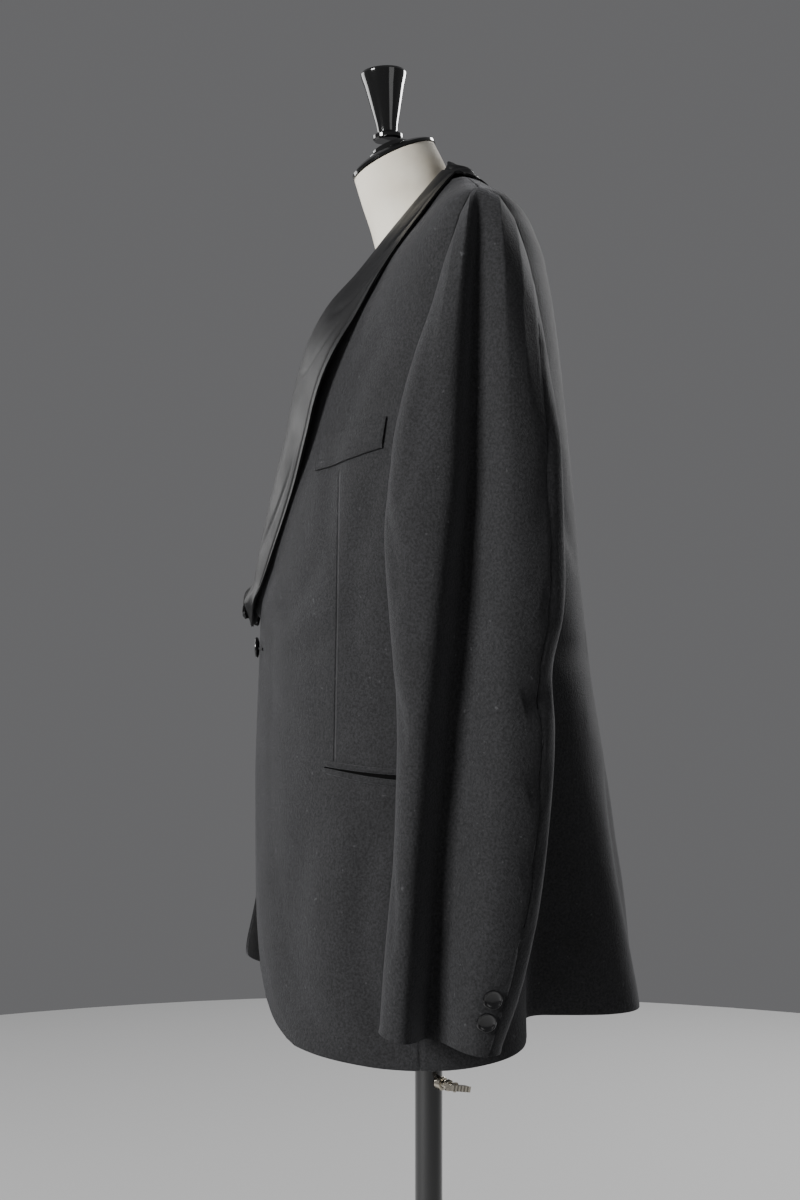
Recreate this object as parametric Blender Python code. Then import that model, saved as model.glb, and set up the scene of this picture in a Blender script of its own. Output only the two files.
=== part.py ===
"""A shawl-collar dinner jacket on a limbless dress form with its stand.

Metres, +Z up. The jacket's front faces -Y and the wearer's left side is +X. The origin is on the
floor, under the middle of the stand's pole. Every piece of cloth is a wall that follows one
surface, body_point for the body and sleeve_point for a sleeve, so that pieces meet at their seams.
"""

import math

import bmesh
import bpy
import numpy as np
from mathutils import Matrix, Vector

# Driving dimensions
CLOTH = 0.002  # wall of wool with its canvas and lining
SATIN = 0.0016  # wall of the collar
SEAM = 0.0005  # gap between pieces that are sewn together
LIFT = 0.0004  # gap under a piece that lies on another
LAP_LIFT = 0.0045  # how far the left front stands out from the right one that it laps
LEFT, RIGHT = 1, -1
LAPEL_FOOT = 1.082  # where the lapel's pointed foot starts
FOOT_LEVELS = (LAPEL_FOOT, 1.092, 1.100, 1.108, 1.118, 1.132)  # the lapel's rows over that foot
UNDERARM = 1.22
SHOULDER_POINT = 1.4225

TUBE_RADIUS, TUBE_BORE = 0.0125, 0.0106
TUBE_TOP = 0.700
ROD_RADIUS = 0.0098
ROD_FOOT = 0.36
FORM_FOOT = 0.83
BASE_RADIUS, BASE_EDGE, BASE_TOP = 0.165, 0.010, 0.026
SCREW_HEIGHT = 0.666
SCREW_TURN = math.radians(45)  # the screw points between the left side and the back


def table(columns, *rows):
    """A table's columns by name, each an array."""
    values = np.array(rows, float)
    return {name: values[:, i] for i, name in enumerate(columns.split())}


def smooth(at, xs, ys):
    """A smooth curve through a table's column, flat past its ends."""
    slopes = np.gradient(ys, xs)
    at = np.clip(at, xs[0], xs[-1])
    i = np.clip(np.searchsorted(xs, at) - 1, 0, len(xs) - 2)
    step = xs[i + 1] - xs[i]
    t = (at - xs[i]) / step
    return (
        (2 * t**3 - 3 * t**2 + 1) * ys[i]
        + (t**3 - 2 * t**2 + t) * step * slopes[i]
        + (3 * t**2 - 2 * t**3) * ys[i + 1]
        + (t**3 - t**2) * step * slopes[i + 1]
    )


def read(rows, by, at, *names):
    """The named columns of a table, read at a value of another column."""
    return [smooth(at, rows[by], rows[name]) for name in names]


# Rings round the jacket's body. level names a ring and is its height at the side. A ring dips to
# front_z and back_z, the more steeply the lower dip is, and it is half wide at the side. The three
# powers shape its outline: 1 and 1 make an ellipse, less is squarer, and a large front_x is a wedge.
BODY = table(
    "level front_z back_z dip half  front   ridge  back   front_x front_y round_back",
    (0.740, 0.740, 0.740, 2, 0.205, -0.1500, 0.010, 0.1830, 0.91, 0.91, 1.00),
    (0.840, 0.840, 0.840, 2, 0.203, -0.1505, 0.012, 0.1730, 0.91, 0.91, 1.00),
    (0.950, 0.950, 0.950, 2, 0.195, -0.1510, 0.015, 0.1580, 0.95, 0.95, 0.98),
    (1.057, 1.057, 1.057, 2, 0.184, -0.1480, 0.018, 0.1415, 1.02, 1.02, 0.95),
    (1.140, 1.138, 1.140, 2, 0.188, -0.1440, 0.022, 0.1325, 1.15, 1.08, 0.93),
    (1.220, 1.212, 1.220, 2, 0.195, -0.1320, 0.026, 0.1255, 1.30, 1.08, 0.91),
    (1.300, 1.278, 1.300, 2, 0.196, -0.1160, 0.030, 0.1165, 1.42, 1.04, 0.87),
    (1.370, 1.328, 1.368, 2, 0.203, -0.0920, 0.033, 0.1055, 1.88, 1.00, 0.87),
    (1.405, 1.354, 1.395, 2, 0.210, -0.0720, 0.034, 0.0980, 2.50, 1.00, 0.91),
    (1.418, 1.370, 1.411, 2, 0.207, -0.0560, 0.035, 0.0910, 2.50, 1.00, 0.95),
    (1.430, 1.385, 1.424, 2, 0.177, -0.0420, 0.035, 0.0820, 2.20, 1.00, 1.00),
    (1.443, 1.402, 1.437, 2, 0.135, -0.0280, 0.034, 0.0720, 1.80, 1.00, 1.00),
    (1.455, 1.424, 1.447, 2, 0.100, -0.0140, 0.032, 0.0600, 1.40, 1.00, 1.00),
    (1.463, 1.444, 1.453, 2, 0.075, -0.0020, 0.030, 0.0500, 1.20, 1.00, 1.00),
)

# Flutes of the skirt: a ridge where depth is positive, a trough where it is negative.
FLUTES = table(
    "side angle_head angle_hem spread depth  head",
    (1, 98, 96, 13, 0.004, 1.02),
    (1, 122, 131, 15, -0.062, 1.20),
    (1, 150, 158, 12, 0.010, 1.00),
    (1, 60, 56, 15, 0.003, 0.95),
    (-1, 100, 98, 13, 0.004, 1.00),
    (-1, 124, 128, 16, -0.052, 1.18),
    (-1, 150, 155, 13, 0.009, 1.02),
    (-1, 20, 30, 20, 0.052, 0.91),
    (-1, 62, 66, 14, -0.006, 0.92),
)

# The hem's height round the body, from the centre front to the centre back.
HEM = table(
    "angle height",
    (0, 0.7480),
    (20, 0.7415),
    (45, 0.7380),
    (75, 0.7330),
    (90, 0.7350),
    (110, 0.7420),
    (135, 0.7520),
    (155, 0.7500),
    (180, 0.7430),
)

# Where the front edge runs below the button, as a distance across from the centre.
FRONT_EDGE = table(
    "level left   right",
    (0.740, 0.150, 0.128),
    (0.750, 0.122, 0.108),
    (0.768, 0.096, 0.090),
    (0.800, 0.068, 0.066),
    (0.840, 0.043, 0.042),
    (0.900, 0.017, 0.016),
    (0.960, 0.001, 0.000),
    (1.030, -0.010, -0.012),
    (1.080, -0.012, -0.014),
)

# The seams between the front, the side body and the back, in degrees round the body. Above the
# underarm they are the armhole's edges, and the last columns say which places round the sleeve,
# in degrees from its front, they are sewn to.
SEAMS = table(
    "level   front back   sleeve_front sleeve_back",
    (0.7400, 84.0, 122.0, -75, 255),
    (0.9500, 83.0, 120.0, -75, 255),
    (1.1400, 82.0, 114.0, -75, 255),
    (1.2200, 81.0, 110.0, -75, 255),
    (1.2450, 75.0, 119.0, -50, 222),
    (1.2750, 74.0, 124.5, -22, 190),
    (1.3100, 75.5, 126.5, 0, 168),
    (1.3450, 78.0, 126.0, 18, 150),
    (1.3750, 80.5, 122.5, 36, 138),
    (1.4000, 83.0, 114.5, 56, 124),
    (1.4145, 86.0, 104.0, 73, 107),
    (1.4225, 90.0, 90.0, 90, 90),
    (1.4630, 90.0, 90.0, 90, 90),
)

# The shawl collar, from the end of its roll to the shoulder seam: its roll and its outer edge.
LAPEL = table(
    "level roll_x roll_y roll_z edge_x edge_y edge_z",
    (1.075, 0.003, -0.1580, 1.073, 0.007, -0.1570, 1.070),
    (1.100, 0.010, -0.1580, 1.096, 0.032, -0.1545, 1.093),
    (1.140, 0.020, -0.1520, 1.137, 0.054, -0.1400, 1.133),
    (1.200, 0.033, -0.1400, 1.192, 0.080, -0.1180, 1.193),
    (1.260, 0.044, -0.1270, 1.243, 0.101, -0.1040, 1.242),
    (1.320, 0.052, -0.1150, 1.297, 0.113, -0.0905, 1.288),
    (1.370, 0.057, -0.0935, 1.350, 0.118, -0.0680, 1.330),
    (1.405, 0.060, -0.0640, 1.383, 0.118, -0.0400, 1.371),
    (1.430, 0.061, -0.0380, 1.415, 0.112, -0.0190, 1.403),
    (1.450, 0.061, -0.0130, 1.447, 0.102, 0.0010, 1.432),
    (1.463, 0.059, 0.0060, 1.468, 0.090, 0.0180, 1.4570),
)

# The collar behind the neck, from the shoulder seam to the centre back.
COLLAR = table(
    "turn  roll_x roll_y roll_z edge_x edge_y edge_z",
    (0.0, 0.059, 0.0060, 1.468, 0.090, 0.0180, 1.4570),
    (0.35, 0.047, 0.0190, 1.4765, 0.070, 0.0420, 1.4620),
    (0.7, 0.024, 0.0270, 1.4815, 0.036, 0.0590, 1.4570),
    (1.0, 0.000, 0.0290, 1.4830, 0.000, 0.0640, 1.4540),
)

# Rings of a sleeve below the arm: its front and back, its inner and outer side, and the deep
# crease down its outer side.
SLEEVE = table(
    "height front   back   inner  outer  crease width depth",
    (0.760, -0.0420, 0.0500, 0.2125, 0.268, -0.004, 0.034, 0.036),
    (0.800, -0.0400, 0.0640, 0.2115, 0.270, -0.002, 0.035, 0.035),
    (0.850, -0.0360, 0.0760, 0.2105, 0.269, 0.002, 0.038, 0.033),
    (0.930, -0.0300, 0.0870, 0.2070, 0.266, 0.008, 0.041, 0.032),
    (1.000, -0.0285, 0.0915, 0.2030, 0.265, 0.014, 0.040, 0.031),
    (1.050, -0.0310, 0.0900, 0.2010, 0.264, 0.018, 0.037, 0.030),
    (1.085, -0.0340, 0.0975, 0.2000, 0.264, 0.021, 0.035, 0.028),
    (1.160, -0.0380, 0.0985, 0.2020, 0.264, 0.026, 0.029, 0.024),
    (1.205, -0.0330, 0.0970, 0.2040, 0.262, 0.029, 0.027, 0.020),
)
SLEEVE_HEAD = 1.205  # below this the sleeve hangs straight, above it turns into the armhole
CUFF_HEIGHT = 0.775
CUFF_DROP = 0.016  # the cuff hangs this much lower at the back seam
FOREARM_SEAM, HINDARM_SEAM = -22, 150  # places round the sleeve, in degrees from its front

# Rings of the dress form: the same columns as the body's.
FORM = table(
    "level front_z back_z dip half  front   ridge  back   front_x front_y round_back",
    (0.830, 0.830, 0.830, 2, 0.140, -0.0850, 0.008, 0.1020, 0.91, 0.91, 0.91),
    (0.950, 0.950, 0.950, 2, 0.144, -0.0880, 0.008, 0.1000, 0.91, 0.91, 0.91),
    (1.060, 1.060, 1.060, 2, 0.138, -0.0900, 0.008, 0.0970, 0.91, 0.91, 0.91),
    (1.160, 1.155, 1.160, 2, 0.150, -0.0980, 0.012, 0.1010, 0.93, 0.93, 0.91),
    (1.260, 1.245, 1.260, 2, 0.166, -0.0960, 0.018, 0.1020, 1.05, 1.00, 0.91),
    (1.335, 1.305, 1.335, 2, 0.172, -0.0800, 0.022, 0.0950, 1.30, 1.00, 0.95),
    (1.374, 1.340, 1.372, 2, 0.165, -0.0620, 0.024, 0.0850, 1.60, 1.00, 1.00),
    (1.396, 1.364, 1.392, 2, 0.142, -0.0500, 0.022, 0.0750, 1.60, 1.00, 1.00),
    (1.408, 1.378, 1.406, 2, 0.112, -0.0455, 0.016, 0.0640, 1.40, 1.00, 1.00),
    (1.418, 1.390, 1.418, 1.8, 0.080, -0.0445, 0.006, 0.0500, 1.20, 1.00, 1.00),
    (1.432, 1.408, 1.434, 1.4, 0.054, -0.0465, -0.002, 0.0370, 1.00, 1.00, 1.00),
    (1.450, 1.430, 1.462, 1, 0.043, -0.0515, -0.010, 0.0270, 1.00, 1.00, 1.00),
    (1.474, 1.456, 1.490, 1, 0.0405, -0.0600, -0.021, 0.0160, 1.00, 1.00, 1.00),
    (1.4955, 1.4790, 1.5120, 1, 0.0400, -0.0670, -0.031, 0.0050, 1.00, 1.00, 1.00),
)

# Outlines of the turned pieces, as a radius at each height, from the foot up.
KNOB = table(
    "radius height",
    (0.0120, 0.000),
    (0.0135, 0.0015),
    (0.0135, 0.0045),
    (0.0115, 0.0060),
    (0.0090, 0.0075),
    (0.0098, 0.0140),
    (0.0175, 0.0480),
    (0.0203, 0.0570),
    (0.0207, 0.0600),
    (0.0195, 0.0620),
    (0.0120, 0.0645),
)
CAP = table(
    "radius height",
    (0.0405, 0.0000),
    (0.0405, 0.0025),
    (0.0375, 0.0048),
    (0.0300, 0.0075),
    (0.0215, 0.0090),
    (0.0205, 0.0115),
    (0.0165, 0.0125),
    (0.0155, 0.0150),
)
NECK_TILT = math.radians(24)
KNOB_TILT = math.radians(4)

COLOURS = table(
    "red green blue roughness metallic",
    (0.030, 0.030, 0.031, 0.85, 0.0),
    (0.012, 0.012, 0.013, 0.35, 0.0),
    (0.760, 0.730, 0.680, 0.75, 0.0),
    (0.010, 0.010, 0.010, 0.12, 0.0),
    (0.700, 0.660, 0.600, 0.30, 1.0),
)
FINISHES = ("wool", "satin", "canvas", "gloss_black", "nickel")


def make_materials():
    made = {}
    for i, name in enumerate(FINISHES):
        material = bpy.data.materials.new(name)
        material.use_nodes = True
        shader = material.node_tree.nodes["Principled BSDF"]
        colour = [COLOURS[part][i] for part in ("red", "green", "blue")]
        shader.inputs["Base Color"].default_value = (*colour, 1)
        shader.inputs["Roughness"].default_value = COLOURS["roughness"][i]
        shader.inputs["Metallic"].default_value = COLOURS["metallic"][i]
        made[name] = material
    return made


def finish(name, bm, material):
    """Turns a bmesh into a named object with its material, shaded smooth but for sharp edges."""
    bmesh.ops.recalc_face_normals(bm, faces=bm.faces[:])
    if bm.calc_volume(signed=True) < 0:
        bmesh.ops.reverse_faces(bm, faces=bm.faces[:])
    mesh = bpy.data.meshes.new(name)
    bm.to_mesh(mesh)
    bm.free()
    mesh.materials.append(material)
    mesh.shade_smooth()
    mesh.set_sharp_from_angle(angle=math.radians(40))
    made = bpy.data.objects.new(name, mesh)
    bpy.context.scene.collection.objects.link(made)
    return made


# ---------------------------------------------------------------- surfaces


def ring_point(rings, side, angle, level):
    """A point of a ring table's surface, angle degrees round from the centre front."""
    names = "front_z back_z dip half front ridge back front_x front_y round_back".split()
    front_z, back_z, dip, half, front, ridge, back, front_x, front_y, round_back = read(
        rings, "level", level, *names
    )
    turn = np.radians(angle)
    across, along = np.sin(turn), np.cos(turn)
    is_front = along > 0
    depth = np.where(is_front, front - ridge, back - ridge)
    x = side * half * np.sign(across) * np.abs(across) ** np.where(is_front, front_x, round_back)
    y = ridge + depth * np.abs(along) ** np.where(is_front, front_y, round_back)
    z = level + (np.where(is_front, front_z, back_z) - level) * np.abs(along) ** dip
    return np.stack(np.broadcast_arrays(x, y, z), -1)


def flute(side, angle, level):
    """How far the skirt's flutes move the cloth out at this place."""
    total = 0.0
    for row in zip(*(FLUTES[name] for name in FLUTES)):
        row_side, angle_head, angle_hem, spread, depth, head = row
        if row_side != side:
            continue
        down = np.clip((head - level) / (head - 0.74), 0, 1)
        middle = angle_head + (angle_hem - angle_head) * down
        total = total + depth * down**1.4 * np.exp(-(((angle - middle) / spread) ** 2))
    return total


def body_point(side, angle, level):
    """A point of the jacket's outer surface, with the skirt's flutes."""
    plain = ring_point(BODY, side, angle, level)
    turn = np.radians(angle)
    half, front, back = read(BODY, "level", level, "half", "front", "back")
    depth = np.where(np.cos(turn) > 0, np.abs(front), np.abs(back))
    out = np.stack(
        np.broadcast_arrays(
            side * np.sin(turn) / half, -np.cos(turn) / depth, np.zeros_like(turn)
        ),
        -1,
    )
    out = out / np.linalg.norm(out, axis=-1, keepdims=True)
    return plain + out * np.asarray(flute(side, angle, level))[..., None]


def angle_at(level, across):
    """The angle where the body's front is this far across from the centre."""
    half, front_x = read(BODY, "level", level, "half", "front_x")
    share = np.clip(np.abs(across) / half, 0, 1)
    return np.degrees(np.arcsin(share ** (1 / front_x))) * np.sign(across)


def roll_point(side, level):
    """The lapel's roll, and its outer edge, at a ring of the body."""
    names = "roll_x roll_y roll_z edge_x edge_y edge_z".split()
    roll_x, roll_y, roll_z, edge_x, edge_y, edge_z = read(LAPEL, "level", level, *names)
    roll = np.stack([side * roll_x, roll_y, roll_z], -1)
    edge = np.stack([side * edge_x, edge_y, edge_z], -1)
    return roll, edge


def collar_point(side, turn):
    names = "roll_x roll_y roll_z edge_x edge_y edge_z".split()
    roll_x, roll_y, roll_z, edge_x, edge_y, edge_z = read(COLLAR, "turn", turn, *names)
    roll = np.stack([side * roll_x, roll_y, roll_z], -1)
    edge = np.stack([side * edge_x, edge_y, edge_z], -1)
    return roll, edge


def sleeve_ring(side, angle, height):
    """A point round a hanging sleeve, angle degrees from its front by way of its outer side."""
    names = "front back inner outer crease width depth".split()
    front, back, inner, outer, crease, width, depth = read(SLEEVE, "height", height, *names)
    turn = np.radians(angle)
    power = 2 / 2.4
    along, out = np.cos(turn), np.sin(turn)
    middle_y, middle_x = (front + back) / 2, (inner + outer) / 2
    y = middle_y - (back - front) / 2 * np.sign(along) * np.abs(along) ** power
    x = middle_x + (outer - inner) / 2 * np.sign(out) * np.abs(out) ** power
    spread = np.where(y < crease, width * 0.38, width * 0.62)
    dent = depth * np.exp(-(((y - crease) / spread) ** 2)) * np.clip(out * 1.6, 0, 1)
    return np.stack(np.broadcast_arrays(side * (x - dent), y, height), -1)


def armhole(side, angle):
    """The armhole's edge at a place round the sleeve, straight between the rows of its table."""
    hole = (SEAMS["level"] >= UNDERARM - 1e-6) & (SEAMS["level"] <= SHOULDER_POINT + 1e-6)
    level = SEAMS["level"][hole]
    places = np.append(SEAMS["sleeve_front"][hole], SEAMS["sleeve_back"][hole][-2::-1])
    front = body_point(side, SEAMS["front"][hole], level)
    back = body_point(side, SEAMS["back"][hole], level)[-2::-1]
    points = np.concatenate([front, back, front[:1]])
    places = np.append(places, 360 + places[0])
    turn = (np.asarray(angle, float) - places[0]) % 360 + places[0]
    return np.stack([np.interp(turn, places, points[:, i]) for i in range(3)], -1)


def sleeve_point(side, angle, along):
    """A point of the sleeve. along is 0 at the armhole, 1 where it hangs straight, 2 at the cuff."""
    seam = armhole(side, angle)
    centre = np.array([0.0, 0.036, 1.315])
    inward = centre - seam
    inward[..., 0] = 0
    inward = inward / np.linalg.norm(inward, axis=-1, keepdims=True)
    start = seam + inward * (SEAM + 0.0004)
    underarm = np.clip(1 - np.abs((np.asarray(angle, float) % 360) - 270) / 55, 0, 1)
    start[..., 2] += 0.0028 * underarm
    hanging = sleeve_ring(side, angle, np.full(np.shape(angle), SLEEVE_HEAD))
    gap = np.linalg.norm(hanging - start, axis=-1, keepdims=True)
    leave = np.array([side * 1.0, 0.0, 0.15]) * gap * 0.75
    arrive = np.array([0.0, 0.0, -1.0]) * gap * 0.9
    t = np.clip(along, 0, 1)[..., None] if np.ndim(along) else min(max(along, 0), 1)
    cap = (
        (2 * t**3 - 3 * t**2 + 1) * start
        + (t**3 - 2 * t**2 + t) * leave
        + (3 * t**2 - 2 * t**3) * hanging
        + (t**3 - t**2) * arrive
    )
    down = np.clip(along - 1, 0, 1)
    lap = (1 - np.cos(np.radians(np.asarray(angle) + 10))) / 2
    cuff = CUFF_HEIGHT - CUFF_DROP * lap
    height = SLEEVE_HEAD + (cuff - SLEEVE_HEAD) * down
    hung = sleeve_ring(side, angle, height)
    return np.where(np.asarray(down)[..., None] > 0, hung, cap)


# ---------------------------------------------------------------- walls of cloth


def wall(name, outer, inner, material):
    """A closed wall between two grids of points, an outer face and an inner one."""
    rows, columns = outer.shape[:2]
    bm = bmesh.new()
    bmesh.ops.create_grid(bm, x_segments=columns - 1, y_segments=rows - 1, size=0.5)
    places = {}
    for vertex in bm.verts:
        column = round((vertex.co.x + 0.5) * (columns - 1))
        row = round((vertex.co.y + 0.5) * (rows - 1))
        vertex.co = (column, row, 0)
        places[vertex] = (row, column)
    extruded = bmesh.ops.extrude_face_region(bm, geom=bm.faces[:])
    fresh = {item for item in extruded["geom"] if isinstance(item, bmesh.types.BMVert)}
    for vertex in bm.verts:
        column, row = round(vertex.co.x), round(vertex.co.y)
        vertex.co = Vector((inner if vertex in fresh else outer)[row, column])
    return finish(name, bm, material)


def moved_out(surface, us, vs, distance, step=(0.2, 0.002)):
    """Points of a surface at two parameters, moved along its outward normal."""
    u, v = np.asarray(us, float), np.asarray(vs, float)
    du = surface(u + step[0], v) - surface(u - step[0], v)
    dv = surface(u, v + step[1]) - surface(u, v - step[1])
    normal = np.cross(du, dv)
    normal = normal / np.maximum(np.linalg.norm(normal, axis=-1, keepdims=True), 1e-12)
    return surface(u, v) + normal * np.asarray(distance)[..., None]


def surface_step(surface, us, vs, step=0.2):
    """How many metres one unit of the first parameter covers."""
    ahead, behind = surface(us + step, vs), surface(us - step, vs)
    return np.linalg.norm(ahead - behind, axis=-1) / (2 * step)


def panel(name, side, levels, edges, columns, material, shape=None):
    """A panel of the body between two edges, which edges gives as angles for a level."""
    shape = shape or (lambda angle, level: body_point(side, angle, level))
    grid_angle, grid_level = [], []
    share = np.linspace(0, 1, columns + 1)
    for level in levels:
        start, end = edges(level)
        middle = np.array([(start + end) / 2])
        pace = surface_step(shape, middle, np.array([level]))[0]
        inset = SEAM / 2 / max(pace, 1e-5)
        angles = start + inset + (end - start - 2 * inset) * share
        hem = smooth(np.abs(angles), HEM["angle"], HEM["height"])
        low = np.clip(1 - (level - 0.74) / 0.16, 0, 1)
        grid_angle.append(angles)
        grid_level.append(level + (hem - 0.74) * low)
    angle, level = np.array(grid_angle), np.array(grid_level)
    direction = 1 if side == LEFT else -1
    zero = np.zeros(angle.shape)
    outer = moved_out(shape, angle, level, zero)
    inner = moved_out(shape, angle, level, zero - CLOTH * direction)
    return wall(name, outer, inner, material)


def zone_levels(*zones):
    """Levels of the rows, from zones given as foot, head and how many rows lie between."""
    found = [np.linspace(foot, head, rows, endpoint=False) for foot, head, rows in zones]
    return np.append(np.concatenate(found), zones[-1][1])


SKIRT_LEVELS = zone_levels((0.74, 0.80, 3), (0.80, 1.06, 5))
FOLD_LEVELS = (LAPEL_FOOT, 1.098, 1.120, 1.150, 1.185, UNDERARM)  # rows where the front's fold starts
ARMHOLE_LEVELS = [level for level in SEAMS["level"] if UNDERARM < level < SHOULDER_POINT]
SHOULDER_LEVELS = zone_levels((SHOULDER_POINT, 1.463, 5))
BODY_LEVELS = np.concatenate([SKIRT_LEVELS, FOLD_LEVELS, ARMHOLE_LEVELS, SHOULDER_LEVELS])


def retreat(level):
    """How far the front's edge draws back under the lapel's foot, where the fold starts."""
    return np.interp(level, (1.082, 1.094, 1.120, 1.150), (0, 0.009, 0.007, 0))


def front_edges(side):
    column = "left" if side == LEFT else "right"

    def edges(level):
        across = smooth(level, FRONT_EDGE["level"], FRONT_EDGE[column])
        roll_x = smooth(level, LAPEL["level"], LAPEL["roll_x"])
        lapel = np.clip((level - LAPEL_FOOT) / 0.016, 0, 1)
        start = angle_at(level, across + (roll_x + retreat(level) - across) * lapel)
        return start, smooth_seam(level, "front")

    return edges


def smooth_seam(level, column):
    """The seam's angle, read straight between rows, so that the shoulder's corner stays."""
    return np.interp(level, SEAMS["level"], SEAMS[column])


def fold_offset(side, level):
    """From the lapel's roll back to the front's edge, which lies inside the fold."""
    high = np.clip((np.asarray(level, float) - 1.36) / 0.10, 0, 1)[..., None]
    low_fold = np.array([side * 0.0015, 0.0052, -0.0015])
    high_fold = np.array([side * 0.0005, 0.0036, -0.0048])
    back = np.multiply.outer(retreat(np.asarray(level, float)), [side, 0.15, 0])
    return low_fold + (high_fold - low_fold) * high + back


def front_shape(side):
    """The body's surface, drawn out to the lapel's roll along its front edge."""
    edges = front_edges(side)

    def shape(angle, level):
        plain = body_point(side, angle, level)
        start = edges(level)[0]
        roll, edge = roll_point(side, level)
        fold = roll + fold_offset(side, level)
        gap = fold - body_point(side, start, level)
        width = np.maximum(angle_at(level, np.abs(edge[..., 0])) - start, 4.0) * 1.2
        near = np.clip(1 - (angle - start) / width, 0, 1) ** 1.7
        # The right front comes forward a little higher up, so that it stays under the left one.
        above = np.clip((level - LAPEL_FOOT - (side == RIGHT) * 0.006) / 0.016, 0, 1)
        # The left front laps over the right one, from the button to the hem.
        lap = LAP_LIFT * np.clip((24 - (angle - start)) / 14, 0, 1) * (side == LEFT)
        lap = lap * np.clip((1.13 - level) / 0.03, 0, 1)
        push = np.stack([0 * lap, -lap, 0 * lap], -1)
        return plain + gap * (near * above)[..., None] + push

    return shape


def make_fronts(materials):
    for side, name in ((LEFT, "front_left"), (RIGHT, "front_right")):
        edges = front_edges(side)
        panel(name, side, BODY_LEVELS, edges, 9, materials["wool"], front_shape(side))


def make_sides_and_backs(materials):
    for side, word in ((LEFT, "left"), (RIGHT, "right")):

        def side_edges(level):
            return smooth_seam(level, "front"), smooth_seam(level, "back")

        def back_edges(level):
            return smooth_seam(level, "back"), 180.0

        low_levels = np.append(SKIRT_LEVELS, FOLD_LEVELS)
        panel(f"side_{word}", side, low_levels, side_edges, 4, materials["wool"])
        panel(f"back_{word}", side, BODY_LEVELS, back_edges, 9, materials["wool"])


def spread_round(start, end, columns):
    """Places round a sleeve, closer together where it turns at its front and back."""
    share = np.linspace(start, end, columns + 1)
    return share + 9 * np.sin(np.radians(2 * share))


def make_sleeves(materials):
    rows = np.concatenate([np.linspace(0, 1, 7), 1 + np.linspace(0, 1, 10)[1:]])
    pieces = (
        ("top", FOREARM_SEAM, HINDARM_SEAM, 15),
        ("under", HINDARM_SEAM, 360 + FOREARM_SEAM, 7),
    )
    for side, word in ((LEFT, "left"), (RIGHT, "right")):

        def shape(angle, along):
            return sleeve_point(side, angle, along)

        for piece, start, end, columns in pieces:
            inset = 0.3
            angle, along = np.meshgrid(spread_round(start + inset, end - inset, columns), rows)
            zero = np.zeros(angle.shape)
            sign = 1 if side == LEFT else -1
            outer = moved_out(shape, angle, along, zero, (0.5, 0.004))
            inner = moved_out(shape, angle, along, zero + CLOTH * sign, (0.5, 0.004))
            wall(f"sleeve_{piece}_{word}", outer, inner, materials["wool"])


def outward(shape, angle, level, side):
    """Points of a surface with their outward normals and the way to greater angles."""
    point = shape(angle, level)
    du = shape(angle + 0.2, level) - shape(angle - 0.2, level)
    dv = shape(angle, level + 0.002) - shape(angle, level - 0.002)
    normal = np.cross(du, dv) * side
    normal /= np.maximum(np.linalg.norm(normal, axis=-1, keepdims=True), 1e-12)
    onward = du / np.maximum(np.linalg.norm(du, axis=-1, keepdims=True), 1e-12)
    return point, normal, onward


def coat_samples(side):
    """Close points of the coat under the collar, with their normals."""
    edges = front_edges(side)
    levels = np.linspace(1.06, 1.463, 120)
    starts = np.array([edges(level)[0] for level in levels])
    share = np.linspace(0, 1, 60) ** 1.5
    angle = starts[:, None] + share * (75 - starts[:, None])
    level = np.repeat(levels[:, None], 60, axis=1)
    front = outward(front_shape(side), angle, level, side)
    angle, level = np.meshgrid(np.linspace(60, 180, 90), np.linspace(1.40, 1.463, 40))
    rear = outward(lambda a, b: body_point(side, a, b), angle, level, side)
    points = np.concatenate([front[0].reshape(-1, 3), rear[0].reshape(-1, 3)])
    normals = np.concatenate([front[1].reshape(-1, 3), rear[1].reshape(-1, 3)])
    return points, normals


def lifted(points, samples, need):
    """The points, each moved out until it stands this far off the nearest sample."""
    places, normals = samples
    found = points.copy()
    for index in np.ndindex(points.shape[:-1]):
        nearest = np.argmin(np.sum((places - points[index]) ** 2, axis=1))
        height = np.dot(points[index] - places[nearest], normals[nearest])
        short = max(np.broadcast_to(need, points.shape[:-1])[index] - height, 0)
        found[index] = points[index] + normals[nearest] * short
    return found


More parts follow.
